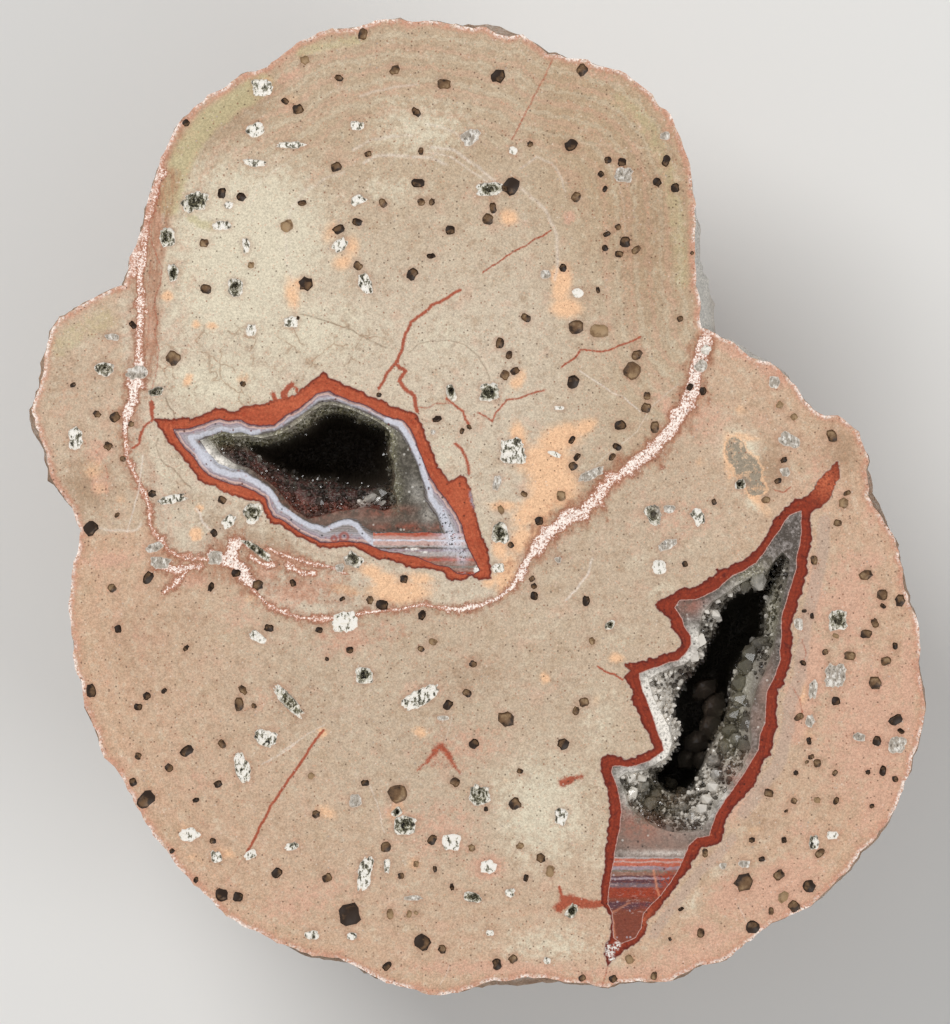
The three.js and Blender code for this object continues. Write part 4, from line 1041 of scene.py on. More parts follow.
def jasper_material(context, name, bright):
    """Red jasper with darker streaks, orange patches and a thin line where the agate starts."""
    stone = Stone(context, name, 3.6, 0.004, Roughness=0.28, IOR=1.53, Specular_IOR_Level=0.25)
    field, ramp, grain = stone.field, stone.ramp, stone.grain
    fine, cloud = stone.noise(3.2, 3.0, 0.7), stone.noise(1.0, 5.0, 0.7)
    inner, outer = stone.sway(field("from_inside"), fine, 0.2), stone.sway(field("from_outside"), fine, 0.4)
    ribbon = stone.group(agate_ribbon(), Distance=inner, Spacing=0.62, Wander=0.6)["Band"]
    if bright:
        main, deep, high = "jasper_bright", "jasper_mid", "jasper_orange"
        border = ("purple", ramp(inner, 0.18, 0.07, 0.0, 0.85))
    else:
        main, deep, high = "jasper_dark", "jasper_deep", "jasper_mid"
        border = ("agate_pink", ramp(inner, 0.13, 0.04, 0.0, 0.75))
    return stone.finish(stone.layers(
        main,
        (deep, ramp(cloud, 0.52, 0.66, 0.0, 0.8)),
        (high, ramp(cloud, 0.46, 0.32, 0.0, 0.8)),
        (deep, ramp(ribbon, 0.5, 0.9, 0.0, 0.3)),
        (high, ramp(ribbon, 0.35, 0.05, 0.0, 0.2)),
        ("jasper_deep", ramp(outer, 0.34, 0.12, 0.0, 0.75)),
        ("jasper_orange", field("glow"), ramp(fine, 0.4, 0.6, 0.4, 1.0)),
        ("agate_mauve", field("grey"), ramp(fine, 0.36, 0.5)),
        ("hole", grain["Speck"], 0.6),
        ("jasper_orange", grain["Warm"], 0.2),
        ("salmon", grain["Light"], 0.12),
        border,
        ("chalk", field("sparkle"), ramp(fine, 0.42, 0.56)),
    ), 0.74, 1.26)


def agate_material(context):
    """Fortification agate: from the jasper inwards maroon, pink, mauve, grey, white-blue, then glassy."""
    stone = Stone(context, "banded_agate", 3.6, 0.002, Roughness=0.2, IOR=1.54, Specular_IOR_Level=0.3)
    field, ramp, grain, sway = stone.field, stone.ramp, stone.grain, stone.sway
    fine = stone.noise(3.0, 3.0, 0.7)
    outer = sway(sway(field("from_outside"), stone.noise(0.9, 3.0, 0.6), 0.45), fine, 0.16)
    ribbon = stone.group(agate_ribbon(), Distance=outer, Spacing=0.27, Wander=0.2)["Band"]
    white = field("white")
    return stone.finish(stone.layers(
        "purple",
        ("agate_pink", ramp(outer, 0.08, 0.18)),
        ("agate_mauve", ramp(outer, 0.30, 0.44)),
        ("agate_grey", ramp(outer, 0.55, 0.80)),
        ("quartz_grey", ramp(outer, 0.95, 1.35, 0.0, 0.7)),
        ("agate_pink", ramp(ribbon, 0.5, 0.85, 0.0, 0.38)),
        ("agate_shadow", ramp(ribbon, 0.35, 0.1, 0.0, 0.38)),
        ("quartz_smoke", field("glassy"), ramp(fine, 0.3, 0.5, 0.6, 1.0)),
        ("agate_white", ramp(sway(white, fine, 0.9), 0.25, 1.0), ramp(white, 0.02, 0.35, 0.0, 0.88)),
        ("agate_blue", ramp(ribbon, 0.62, 0.9, 0.0, 0.32)),
        ("jasper_mid", field("loops"), 0.75),
        ("hole", grain["Speck"], 0.75),
        ("jasper_mid", grain["Warm"], 0.3),
        ("hole", ramp(field("dots"), 0.3, 0.6), ramp(fine, 0.55, 0.62)),
    ), 0.82, 1.16)


def level_material(context, name, stripes, wobble):
    """Agate laid level: stripes by how far down the hollow they lie, as (place, softness, colour name)."""
    stone = Stone(context, name, 3.6, 0.004, Roughness=0.24, IOR=1.54, Specular_IOR_Level=0.25)
    field, ramp, grain, streaked = stone.field, stone.ramp, stone.grain, stone.scaled(0.35, 1.0, 1.0)
    across = stone.add("ShaderNodeSeparateXYZ", {0: stone.where}).outputs["Y"]
    fine, cloud = stone.noise(3.4, 4.0, 0.75, streaked), stone.noise(1.8, 4.0, 0.7)
    level = stone.sway(stone.sway(across, stone.noise(0.7, 2.0), wobble), fine, 0.42)
    streak = stone.noise(4.4, 3.0, 0.75, streaked)
    laid = []
    for down, soft, shade in stripes[1:]:
        height = place([(0, down)])[0][1]
        laid.append((shade, ramp(level, height + soft * GRID, height - soft * GRID)))
    return stone.finish(stone.layers(
        stripes[0][2],
        *laid,
        ("agate_pink", ramp(streak, 0.54, 0.64, 0.0, 0.4)),
        ("seam_brown", ramp(streak, 0.45, 0.36, 0.0, 0.45)),
        ("jasper_fill", field("fill"), 0.9),
        ("jasper_mid", field("warm"), ramp(cloud, 0.4, 0.55)),
        ("salmon", field("line")),
        ("chalk", field("white"), ramp(fine, 0.4, 0.5)),
        ("agate_white", field("speckled"), ramp(cloud, 0.3, 0.5)),
        ("hole", field("speckled"), ramp(stone.noise(3.4, 2.0), 0.58, 0.64)),
        ("jasper_deep", grain["Speck"], 0.7),
        ("agate_white", grain["Light"], 0.35),
    ), 0.76, 1.22)


def polished_quartz(context, name, smoky):
    """Quartz sawn and polished flush with the face, between the agate and the open crystals."""
    stone = Stone(context, name, 3.4, 0.01, Roughness=0.14, IOR=1.544)
    field, ramp, lichen = stone.field, stone.ramp, stone.field("lichen")
    haze, fine, grit = stone.noise(0.9, 5.0, 0.72), stone.noise(3.4, 4.0, 0.75), stone.noise(4.4, 2.0, 0.8)
    main, pale = ("quartz_olive_and_depth_shade", "quartz_grey") if smoky else ("quartz_smoke", "quartz_pale")
    return stone.finish(stone.layers(
        main,
        (pale, ramp(haze, 0.46, 0.68, 0.0, 0.7)),
        ("quartz_olive_and_depth_shade", ramp(haze, 0.46, 0.32, 0.0, 0.6)),
        (pale, ramp(fine, 0.55, 0.68, 0.0, 0.6)),
        ("quartz_olive_and_depth_shade", ramp(fine, 0.44, 0.34, 0.0, 0.6)),
        ("chalcedony", field("brown"), ramp(haze, 0.3, 0.55, 0.55, 1.0)),
        ("vein", field("warm"), ramp(haze, 0.36, 0.6, 0.1, 0.9)),
        ("lichen", lichen, ramp(fine, 0.36, 0.6, 0.3, 1.0)),
        ("hole", lichen, ramp(grit, 0.44, 0.36)),
        ("chalk", lichen, ramp(grit, 0.58, 0.64)),
        # milk_and_glint in the bright patches: milky quartz, partly painted sparkle
        ("milk_and_glint", field("bright"), ramp(fine, 0.30, 0.55, 0.4, 1.0)),
        ("hole", stone.grain["Speck"], 0.7),
        ("chalk", stone.grain["Light"], 0.4),
    ), 0.8, 1.2)


def druse_material(context, name, floor):
    """The crust between the crystals, with painted shade: darker the deeper it lies."""
    stone = Stone(context, name, 2.6, 0.14, Roughness=0.3, IOR=1.544)
    field, ramp, lichen = stone.field, stone.ramp, stone.field("lichen")
    haze, fine, grit = stone.noise(1.2, 4.0, 0.7), stone.noise(3.2, 3.0, 0.7), stone.noise(4.4, 2.0, 0.8)
    return stone.finish(stone.layers(
        floor,
        ("quartz_grey", ramp(fine, 0.5, 0.66, 0.0, 0.7)),
        ("quartz_olive_and_depth_shade", ramp(haze, 0.46, 0.34, 0.0, 0.5)),
        ("chalcedony", field("brown"), 0.7),
        ("vein", field("warm"), ramp(haze, 0.36, 0.6, 0.2, 0.8)),
        ("lichen", lichen, ramp(fine, 0.3, 0.5, 0.4, 1.0)),
        ("hole", lichen, ramp(grit, 0.46, 0.38)),
        ("chalk", lichen, ramp(grit, 0.56, 0.62)),
        # milk_and_glint in the bright patches: milky quartz, partly painted sparkle
        ("milk_and_glint", field("bright"), ramp(fine, 0.34, 0.6, 0.7, 1.0)),
        # painted shade: olive-dark colour laid over the crust more strongly the deeper it lies
        ("quartz_olive_and_depth_shade", ramp(field("deep"), 0.22, 0.5, 0.0, 0.8)),
    ))


def crystal_material(context, name, transmission):
    """Clear or milky quartz crystals, each of its own shade, with painted shade the deeper they stand."""
    stone = Stone(context, name, Roughness=0.06, IOR=1.544, Transmission_Weight=transmission)
    field, ramp = stone.field, stone.ramp
    value = stone.sway(field("shade"), stone.noise(1.8, 3.0, 0.6), 0.5)
    return stone.finish(stone.layers(
        "quartz_smoke",
        ("quartz_grey", ramp(value, 0.1, 0.45)),
        # the lightest crystals turn milky white: partly milky quartz, partly painted glints
        ("milk_and_glint", ramp(value, 0.45, 0.8)),
        ("chalcedony", field("brown"), 0.6),
        ("vein", field("warm"), 0.6),
        ("lichen", field("lichen"), 0.75),
        ("milk_and_glint", ramp(value, 0.85, 1.0)),
        # painted shade: olive-dark colour laid over the crystals more strongly the deeper they stand
        ("quartz_olive_and_depth_shade", ramp(field("deep"), 0.3, 0.6, 0.0, 0.7)),
    ))


# ---------------------------------------------------------------- the rhyolite


def knobs(unit, at):
    """Knobs spread evenly over the lower half of a sphere, and broad swells between them."""
    lumps = np.zeros(len(unit))
    for index in range(KNOBS["count"]):
        down = (index + 0.5) / KNOBS["count"]
        flat = math.sqrt(1 - down * down)
        turn = index * KNOBS["turn"]
        facing = unit @ np.array([flat * math.cos(turn), flat * math.sin(turn), -down])
        lumps += KNOBS["height"] * np.exp(-((np.arccos(np.clip(facing, -1, 1)) / KNOBS["spread"]) ** 2))
    for height, scale, phase in SWELLS:
        waves = np.sin(at * scale * (1.0, 1.13, 0.94) + phase * np.array((1.0, 1.7, 2.3)))
        lumps += height * waves.prod(1)
    return lumps


def lobe_object(name, lobe, wart):
    """One lobe: a sphere whose section at the face is the drawn edge, warty below it."""
    bpy.ops.object.select_all(action="DESELECT")
    bpy.ops.mesh.primitive_uv_sphere_add(segments=lobe["columns"], ring_count=lobe["rows"], radius=1)
    piece = bpy.context.object
    piece.name = name
    unit = coordinates(piece.data)
    unit /= np.linalg.norm(unit, axis=1)[:, None]
    compass = np.arctan2(unit[:, 1], unit[:, 0])
    dip = np.arcsin(np.clip(-unit[:, 2], -1, 1))
    dip[np.abs(dip) < 1e-6] = 0
    below = np.maximum(dip, 0)
    centre = place([lobe["centre"]])[0]
    edge = place(lobe["edge"]) - centre

    def radius_at(angle):
        return np.interp(angle, np.arctan2(edge[:, 1], edge[:, 0]), np.hypot(*edge.T), period=2 * math.pi)

    smooth = np.mean([radius_at(compass + step) for step in np.linspace(-0.6, 0.6, 7)], 0)
    away = (compass - lobe["bulge_at"] + math.pi) % (2 * math.pi) - math.pi
    bulge = lobe["bulge"] * np.exp(-((away / lobe["bulge_width"]) ** 2))
    bulge = bulge * (below / BULGE_DIP) * np.exp(1 - below / BULGE_DIP)
    wide = smooth + (radius_at(compass) - smooth) * np.exp(-((dip / EDGE_FADE) ** 2)) + bulge
    far = 1 / np.hypot(np.cos(dip) / wide, np.sin(dip) / lobe["depth"])
    at = unit * far[:, None]
    chips = np.array([
        noise.noise((x / 1.6, y / 1.6, 4.0)) + 0.8 * noise.noise((x / 0.7, y / 0.7, 1.0)) if z > -4 else 0.0
        for x, y, z in at
    ])
    far += EDGE_CHIPS * chips * np.exp(-((dip / CHIP_FADE) ** 2))
    at = unit * far[:, None]
    lumps = knobs(unit, at)
    warts = np.array([
        noise.ridged_multi_fractal(Vector((x, y, z)), 0.9, 2.1, 4, 1.0, 2.0) if z < 0 else 0.0
        for x, y, z in at / WART_SIZE
    ])
    lumps *= (1 - np.exp(-((below / KNOB_START) ** 2))) * lobe["depth"] / LOBES["lower"]["depth"]
    lumps += wart * (1 - np.exp(-((below / WART_START) ** 2))) * (warts - 1.2) * 0.9
    moved = unit * (far + lumps)[:, None]
    moved[dip == 0, 2] = 0
    moved += (*centre, FACE)
    piece.data.vertices.foreach_set("co", (moved * METRE).astype(np.float32).ravel())
    piece.data.update()
    return piece


def unite(target, other):
    modifier = target.modifiers.new("join", "BOOLEAN")
    modifier.operation = "UNION"
    modifier.object = other
    modifier.solver = "MANIFOLD"
    bpy.context.view_layer.objects.active = target
    bpy.ops.object.modifier_apply(modifier=modifier.name)
    bpy.data.objects.remove(other)


def saw(piece, height, upper, fill):
    """Cuts a piece level, drops the upper or the lower part and, if asked, closes the cut."""
    bpy.ops.object.select_all(action="DESELECT")
    piece.select_set(True)
    bpy.context.view_layer.objects.active = piece
    bpy.ops.object.mode_set(mode="EDIT")
    bpy.ops.mesh.select_all(action="SELECT")
    bpy.ops.mesh.bisect(plane_co=(0, 0, height * METRE), plane_no=(0, 0, 1), use_fill=fill, clear_outer=upper,
                        clear_inner=not upper, threshold=0.000001)
    bpy.ops.object.mode_set(mode="OBJECT")


def skin_parts(wart):
    """The skin of the three lobes below the face: points, faces and the ordered loop at the face."""
    piece, *others = [lobe_object("lobe_" + name, lobe, wart) for name, lobe in LOBES.items()]
    for other in others:
        unite(piece, other)
    saw(piece, FACE, upper=True, fill=False)
    saw(piece, FOOT, upper=False, fill=True)
    work = bmesh.new()
    work.from_mesh(piece.data)
    bmesh.ops.remove_doubles(work, verts=work.verts, dist=0.000002)
    work.verts.index_update()
    following = {}
    for edge in work.edges:
        for vert in edge.verts if edge.is_boundary else ():
            following.setdefault(vert.index, []).append(edge.other_vert(vert).index)
    loop, here = {}, next(iter(following))
    while here is not None:
        loop[here] = True
        here = next((index for index in following[here] if index not in loop), None)
    if len(loop) != len(following):
        raise RuntimeError("The edge of the sawn face is not one loop")
    points = np.array([vert.co[:] for vert in work.verts]) / METRE
    faces = [tuple(vert.index for vert in face.verts) for face in work.faces]
    work.free()
    bpy.data.objects.remove(piece)
    return points, faces, list(loop)


def spot_field(points, spots):
    """Soft ellipses on the drawing grid as one field over the points."""
    total = np.zeros(len(points))
    for across, down, long, wide, turn, strength in spots:
        offset = points - place([(across, down)])[0]
        angle = math.radians(turn)
        along = (offset[:, 0] * math.cos(angle) + offset[:, 1] * math.sin(angle)) / (long * GRID)
        side = (-offset[:, 0] * math.sin(angle) + offset[:, 1] * math.cos(angle)) / (wide * GRID)
        total = np.maximum(total, strength * np.exp(-(along ** 2 + side ** 2) * 0.9))
    return total


def near_line(points, line, reach):
    """Which points lie near a line, and how far off they are."""
    low, high = line.min(0) - reach, line.max(0) + reach
    close = np.nonzero(((points > low) & (points < high)).all(1))[0]
    return close, distance(points[close], line)


def drawn(line):
    """An open line on the drawing grid as a wandering one in millimetres."""
    return warp(densify(place(line), 0.3, False), 0.16, 0.09)


def line_field(points, lines):
    """Lines of a width and strength on the drawing grid as a field, nought beside them."""
    total = np.zeros(len(points))
    for width, strength, line in lines:
        half = width * GRID / 2
        close, gap = near_line(points, drawn(line), half * 2 + 0.3)
        value = smooth_step(half * 1.5 + 0.09, half * 0.4, gap) * abs(strength)
        stronger = value > np.abs(total[close])
        total[close[stronger]] = value[stronger] * math.copysign(1, strength)
    return total


def seam_fields(points):
    """How deep in a seam each point lies, how chalky the nearest seam is, and the stain around them."""
    depth, chalky, wash = (np.zeros(len(points)) for _ in range(3))
    for half, white, line in SEAMS:
        wide = half * GRID
        close, gap = near_line(points, drawn(line), wide * 2 + 2)
        swell = [noise.noise((x * 0.8, y * 0.8, 8.4)) + 0.7 * noise.noise((x * 2.4, y * 2.4, 3.3))
                 for x, y in points[close]]
        gap *= 1 - 0.6 * np.array(swell)
        stain = smooth_step(wide + 2.0, wide * 0.8, gap) * min(1, 0.35 + half / 8)
        wash[close] = np.maximum(wash[close], stain)
        value = smooth_step(wide * 1.6, 0, gap)
        deeper = value > depth[close]
        depth[close[deeper]] = value[deeper]
        chalky[close[deeper]] = white
    return depth, chalky, wash


def beside(lines, steps):
    """Points along both sides of lines given as (half width, line), so that the face can carry them."""
    strips = []
    for half, line in lines:
        middle = drawn(line)
        ahead = np.gradient(middle, axis=0)
        normal = np.stack([-ahead[:, 1], ahead[:, 0]], 1) / np.linalg.norm(ahead, axis=1)[:, None]
        strips += [middle + normal * step * (half * GRID + 0.05) for step in steps]
    return np.concatenate(strips)


def turned(shape, angle):
    return shape @ np.array([[math.cos(angle), math.sin(angle)], [-math.sin(angle), math.cos(angle)]])


def ragged_loop(centre, long, wide, turn, sides, seed, rough):
    """The broken outline of a weathered feldspar."""
    angles = np.arange(sides) * 2 * math.pi / sides
    out = np.stack([np.cos(angles), np.sin(angles)], 1)
    wave = np.array([
        0.9 * noise.noise((u * 1.5 + seed, v * 1.5, 0.5)) + 0.6 * noise.noise((u * 5 + seed, v * 5, 3.5))
        for u, v in out
    ])
    boxy = (np.abs(out) ** 3.2).sum(1) ** (-1 / 3.2)
    return centre + turned(out * (long, wide) * (boxy * (1 + rough * wave))[:, None], math.radians(turn))


def grain_loop(centre, radius, generator):
    """The rounded four- or six-sided outline of a quartz grain, with its floor and its facing."""
    sides = 12
    angles = np.arange(sides) * 2 * math.pi / sides
    turn = generator.uniform(0, 2 * math.pi)
    corners = generator.choice([2, 2, 2, 3])
    power = generator.uniform(3.0, 9.0)
    if corners == 2:
        reach = (np.abs(np.cos(angles)) ** power + np.abs(np.sin(angles)) ** power) ** (-1 / power)
    else:
        reach = 1 / np.cos(((angles + math.pi / 6) % (math.pi / 3)) - math.pi / 6) * 0.96
    reach *= generator.uniform(0.86, 1.08, sides) * radius * 0.92
    narrow = generator.uniform(0.62, 1.0)
    loop = centre + turned(np.stack([np.cos(angles) * reach, np.sin(angles) * reach * narrow], 1), turn)
    floor = centre + (loop - centre) * 0.7
    return loop, floor, np.arctan2(*(floor - centre).T[::-1])


class FaceDrawing:
    """Loops and points of the sawn face with what each one carries, before they are triangulated."""

    def __init__(self, outline, rims):
        self.outline, self.rims = outline, rims
        self.loops = [outline, *rims]
        self.fixed, self.drop, self.kinds, self.taken = [], [], [], []
        self.fills = {kind: [] for kind in FELDSPARS}
        self.loop_tone, self.fixed_tone = [np.full(len(loop), PLAIN) for loop in self.loops], []

    def room(self, centre, radius):
        """The radius that still fits at a place on the face, or nothing."""
        point = np.array([centre])
        free = [distance(point, loop, True)[0] - 0.12 for loop in self.loops[:3]]
        free += [math.hypot(*(centre - other)) - reach - 0.05 for other, reach in self.taken]
        blocked = not between(point, self.outline, self.rims)[0]
        fit = min([radius, *free])
        return None if blocked or fit < max(0.14, radius * 0.35) else fit

    def keep(self, loop, slot, tone, fixed, drop, fixed_tone):
        self.loops.append(loop)
        self.kinds.append((loop, slot))
        self.loop_tone.append(np.broadcast_to(tone, len(loop)))
        self.fixed.append(fixed)
        self.drop.append(drop)
        self.fixed_tone.append(fixed_tone)

    def feldspars(self, pits, generator):
        for kind, spots in FELDSPARS.items():
            sink, share, strength = FILLS[kind]
            for across, down, long, wide, turn in spots:
                centre = place([(across, down)])[0]
                radius = max(long, wide) * GRID / 2
                fit = self.room(centre, radius)
                if fit is None:
                    continue
                self.taken.append((centre, fit * 0.8))
                shrunk = GRID / 2 * fit / radius
                loop = ragged_loop(centre, long * shrunk, wide * shrunk, turn, max(12, int(radius * 20)),
                                   across * 0.37 + down, 0.34)
                fill = scatter(loop.min(0), loop.max(0), 0.17, generator)
                fill = fill[depth_inside(fill, loop) > 0.08]
                dents = np.array([
                    noise.noise((x * 2.1, y * 2.1, 4.2)) * 0.6 + noise.noise((x * 5, y * 5, 1.2)) * 0.5
                    for x, y in fill
                ])
                drop = pits * (0.15 + sink * np.clip(dents + 0.25, 0, 1))
                if kind == "hollow":
                    drop += pits * 1.6 * smooth_step(0.62, 0.30, np.linalg.norm(
                        (fill - centre) / np.maximum(np.ptp(loop, 0) / 2, 0.1), axis=1))
                self.keep(loop, FELDSPAR, PLAIN, fill, -drop, np.full(len(fill), PLAIN))
                self.fills[kind].append((across, down, long * share, wide * share, turn, strength))

    def grains(self, deepest_dip, generator):
        for kind, spots in GRAINS.items():
            for across, down, width in spots:
                centre = place([(across, down)])[0]
                fit = self.room(centre, width * GRID * 0.58)
                if fit is None:
                    continue
                self.taken.append((centre, fit))
                loop, floor, lit = grain_loop(centre, fit, generator)
                tip = centre + generator.uniform(-0.28, 0.28, 2) * fit
                dip = min(deepest_dip, fit * 0.5)
                shade = GRAIN_TONES[kind] + generator.uniform(-0.12, 0.12)
                # painted light and shade: each grain's floor is lighter on the side towards a random direction
                # and darker on the other, like facets catching light
                facing = generator.uniform(0, 2 * math.pi)
                light = np.sign(np.cos(lit - facing)) * generator.uniform(0.2, 1.0, len(lit))
                tones = np.append(shade + 0.42 * light, shade + 0.1)
                drop = -np.append(dip * (0.6 + 0.3 * np.cos(lit - facing)), dip * 1.2)
                self.keep(loop, GRAIN, shade - 0.25, np.concatenate([floor, tip[None]]), drop, tones)

    def triangles(self, given):
        """The face's points and triangles, each triangle's material, and where each given point went."""
        made, triangles, went = triangulate(self.loops, given)
        middle = made[triangles].mean(1)
        keep = between(middle, self.outline, self.rims)
        triangles, middle = triangles[keep], middle[keep]
        slots = np.zeros(len(triangles), int)
        for loop, slot in self.kinds:
            near = np.nonzero(np.abs(middle - loop.mean(0)).max(1) < REACH)[0]
            slots[near[inside(middle[near], loop)]] = slot
        return made, triangles, slots, went

    def lift_and_tone(self, count, went):
        """How far each point of the face is raised, and how light it is."""
        start = sum(len(loop) for loop in self.loops)
        drops, tones = np.concatenate(self.drop), np.concatenate(self.fixed_tone)
        lift, tone = np.zeros(count), np.full(count, PLAIN)
        lift[went[start:start + len(drops)]] = drops
        tone[went[:start]] = np.concatenate(self.loop_tone)
        tone[went[start:start + len(tones)]] = tones
        return lift, tone


def face_points(drawing, step, generator):
    """Loose points that carry the face's colours, close together where its detail is fine."""
    outline = drawing.outline
    fine = beside([(width * 0.5, line) for width, _, line in VEINS + HAIRLINES], (0, -0.8, 0.8, -2.2, 2.2))
    seams = beside([(half, line) for half, _, line in SEAMS], (0, -0.45, 0.45, -0.85, 0.85, -1.3, 1.3))
    outward = [(rim, rim - rim.mean(0)) for rim in drawing.rims]
    rim_side = np.concatenate([rim + way / np.linalg.norm(way, axis=1)[:, None] * out
                               for rim, way in outward for out in (0.12, 0.3, 0.6)])
    band = densify(outline, 0.4)
    shares = (0.004, 0.010, 0.018, 0.028)
    inward = np.concatenate([band + (outline.mean(0) - band) * share for share in shares])
    broad = scatter(outline.min(0), outline.max(0), step, generator)
    blocked, fixed = np.concatenate(drawing.loops), np.concatenate(drawing.fixed)
    everything = thin([blocked, fixed, fine, seams, rim_side, inward, broad],
                      [1e-9, 1e-9, 0.10, 0.15, 0.15, 0.2, step * 0.6])
    loose = everything[len(blocked) + len(fixed):]
    keep = between(loose, outline, drawing.rims)
    for loop, _ in drawing.kinds:
        near = np.nonzero(np.abs(loose - loop.mean(0)).max(1) < REACH)[0]
        keep[near[inside(loose[near], loop)]] = False
    return np.concatenate([fixed, loose[keep]])


def face_fields(at, outline, rims, drawing):
    """The drawn patches, lines and seams as numbers on the points of the nodule, for its materials."""
    face = at[:, 2] > FACE - SUNK
    flat = at[face, :2]
    fields = {name: spot_field(flat, spots) for name, spots in PATCHES.items()}
    fields |= {name: line_field(flat, lines) for name, lines in LINES.items()}
    fields["seam"], fields["chalky"], wash = seam_fields(flat)
    fields["wash"] = np.maximum(wash, line_field(flat, STAINS))
    fields["hollow"] = spot_field(flat, drawing.fills["hollow"]) - spot_field(flat, drawing.fills["solid"])
    fields["greyness"] = np.clip(spot_field(flat, drawing.fills["grey"]), 0, 1)
    fields["edge"] = distance(flat, outline, True)
    fields["rim_gap"] = np.minimum(*(distance(flat, rim, True) for rim in rims))
    from_loop, halo = np.full(len(flat), FAR), np.zeros(len(flat))
    for loop, _ in drawing.kinds:
        near = np.nonzero(np.abs(flat - loop.mean(0)).max(1) < REACH)[0]
        gap = distance(flat[near], loop, True)
        from_loop[near] = np.minimum(from_loop[near], gap)
        halo[near] = np.maximum(halo[near], smooth_step(0.26, 0.02, gap))
    fields |= {"from_loop": from_loop, "halo": halo}
    upper = inside(flat, place(LOBES["upper"]["edge"]))
    (middle, level), (right_side, _), lower_middle = place([(425, 330), (520, 330), (500, 615)])
    rise = np.clip((flat[:, 1] - level) / 24, 0, 1)
    right = np.clip((flat[:, 0] - right_side) / 15, 0, 1)
    left = np.clip((middle - 27 - flat[:, 0]) / 8, 0, 1) * rise
    fields["tan"] = np.where(upper, np.clip(rise * 0.75 + right * 0.75 + left * 0.4, 0, 1), 0)
    away = np.linalg.norm(flat - lower_middle, axis=1) / 52
    blush = np.where(upper, 0.0, np.clip((away - 0.45) * 1.6, 0, 1))
    blush[~upper & inside(flat, place(LOBES["left"]["edge"]))] = 0.15
    fields |= {"blush": blush, "lower": ~upper}
    spread = {}
    for name, values in fields.items():
        spread[name] = np.full(len(at), FAR if name in ("rim_gap", "from_loop") else 0.0)
        spread[name][face] = values
    spread["relief"] = [noise.noise((x / 4, y / 4, z / 4)) for x, y, z in at]
    (west, north), (east, south) = place([(560, 340), (690, 420)])
    spread["pale"] = (smooth_step(west, east, at[:, 0]) * smooth_step(south, north, at[:, 1])
                      * smooth_step(FACE - 12, FACE - 3, at[:, 2]))
    return spread


class THUNDER_EGG_OT_nodule(bpy.types.Operator):
    """Rhyolite nodule: three lobes sawn level, with grains, feldspars, seams and veins in the face"""

    bl_idname = "thunder_egg.nodule"
    bl_label = "Rhyolite nodule"

    def execute(self, context):
        size = sizes(context)
        generator = np.random.default_rng(FACE_SEED)
        body = Body()
        skin_points, skin_faces, edge = skin_parts(size.wart_height / METRE)
        body.add_points(skin_points)
        body.add_faces(skin_faces, SKIN)
        outline = skin_points[edge][:, :2]
        rims = [toothed(UPPER["rim"]), toothed(LOWER["rim"])]
        drawing = FaceDrawing(outline, rims)
        drawing.feldspars(size.pit_depth / METRE, generator)
        drawing.grains(size.grain_depth / METRE, generator)
        given = face_points(drawing, size.face_spacing / METRE, generator)
        made, triangles, slots, went = drawing.triangles(given)
        lift, tone = drawing.lift_and_tone(len(made), went)
        number = np.full(len(made), -1)
        number[went[:len(outline)]] = edge
        fresh = np.unique(triangles)
        fresh = fresh[number[fresh] < 0]
        number[fresh] = body.flat(made[fresh], FACE + lift[fresh])
        body.add_faces(number[triangles], slots)
        first = len(outline)
        for hollow, rim in zip((UPPER, LOWER), rims):
            body.wall(number[went[first:first + len(rim)]], hollow, rim, hollow["rim_depth"], SKIN)
            first += len(rim)
        tone_of = np.full(len(body.points), PLAIN)
        tone_of[number[number >= 0]] = tone[number >= 0]
        piece = body.make("nodule", [rhyolite_face(context), rhyolite_skin(context), grain_material(context),
                                     feldspar_material(context)])
        write(piece, tone=tone_of, **face_fields(coordinates(piece.data), outline, rims, drawing))
        bpy.ops.object.select_all(action="DESELECT")
        piece.select_set(True)
        context.view_layer.objects.active = piece
        bpy.ops.object.shade_smooth_by_angle(angle=SHARP)
        settle(piece, "rhyolite_nodule", "rhyolite")
        return {"FINISHED"}


# ---------------------------------------------------------------- the linings


def lined(name, hollow, outside, outside_depth, holes, step, material):
    """A piece whose top lies in the face between an outer loop and inner ones, with walls below them."""
    body = Body()
    loose = scatter(outside.min(0), outside.max(0), step, np.random.default_rng(len(outside)))
    keep = depth_inside(loose, outside) > step * 0.4
    for loop, _ in holes:
        keep &= depth_inside(loose, loop) < -step * 0.4
    made, triangles, went = triangulate([outside] + [loop for loop, _ in holes], loose[keep])
    keep = between(made[triangles].mean(1), outside, [loop for loop, _ in holes])
    number = np.full(len(made), -1)
    used = np.unique(triangles[keep])
    number[used] = body.flat(made[used])
    body.add_faces(number[triangles[keep]])
    first = 0
    for loop, depth in [(outside, outside_depth)] + holes:
        body.wall(number[went[first:first + len(loop)]], hollow, loop, depth)
        first += len(loop)
    piece = body.make(name, [material])
    return piece, coordinates(piece.data)[:, :2]


def settle(piece, node, slot):
    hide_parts(node)
    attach(piece, "root")


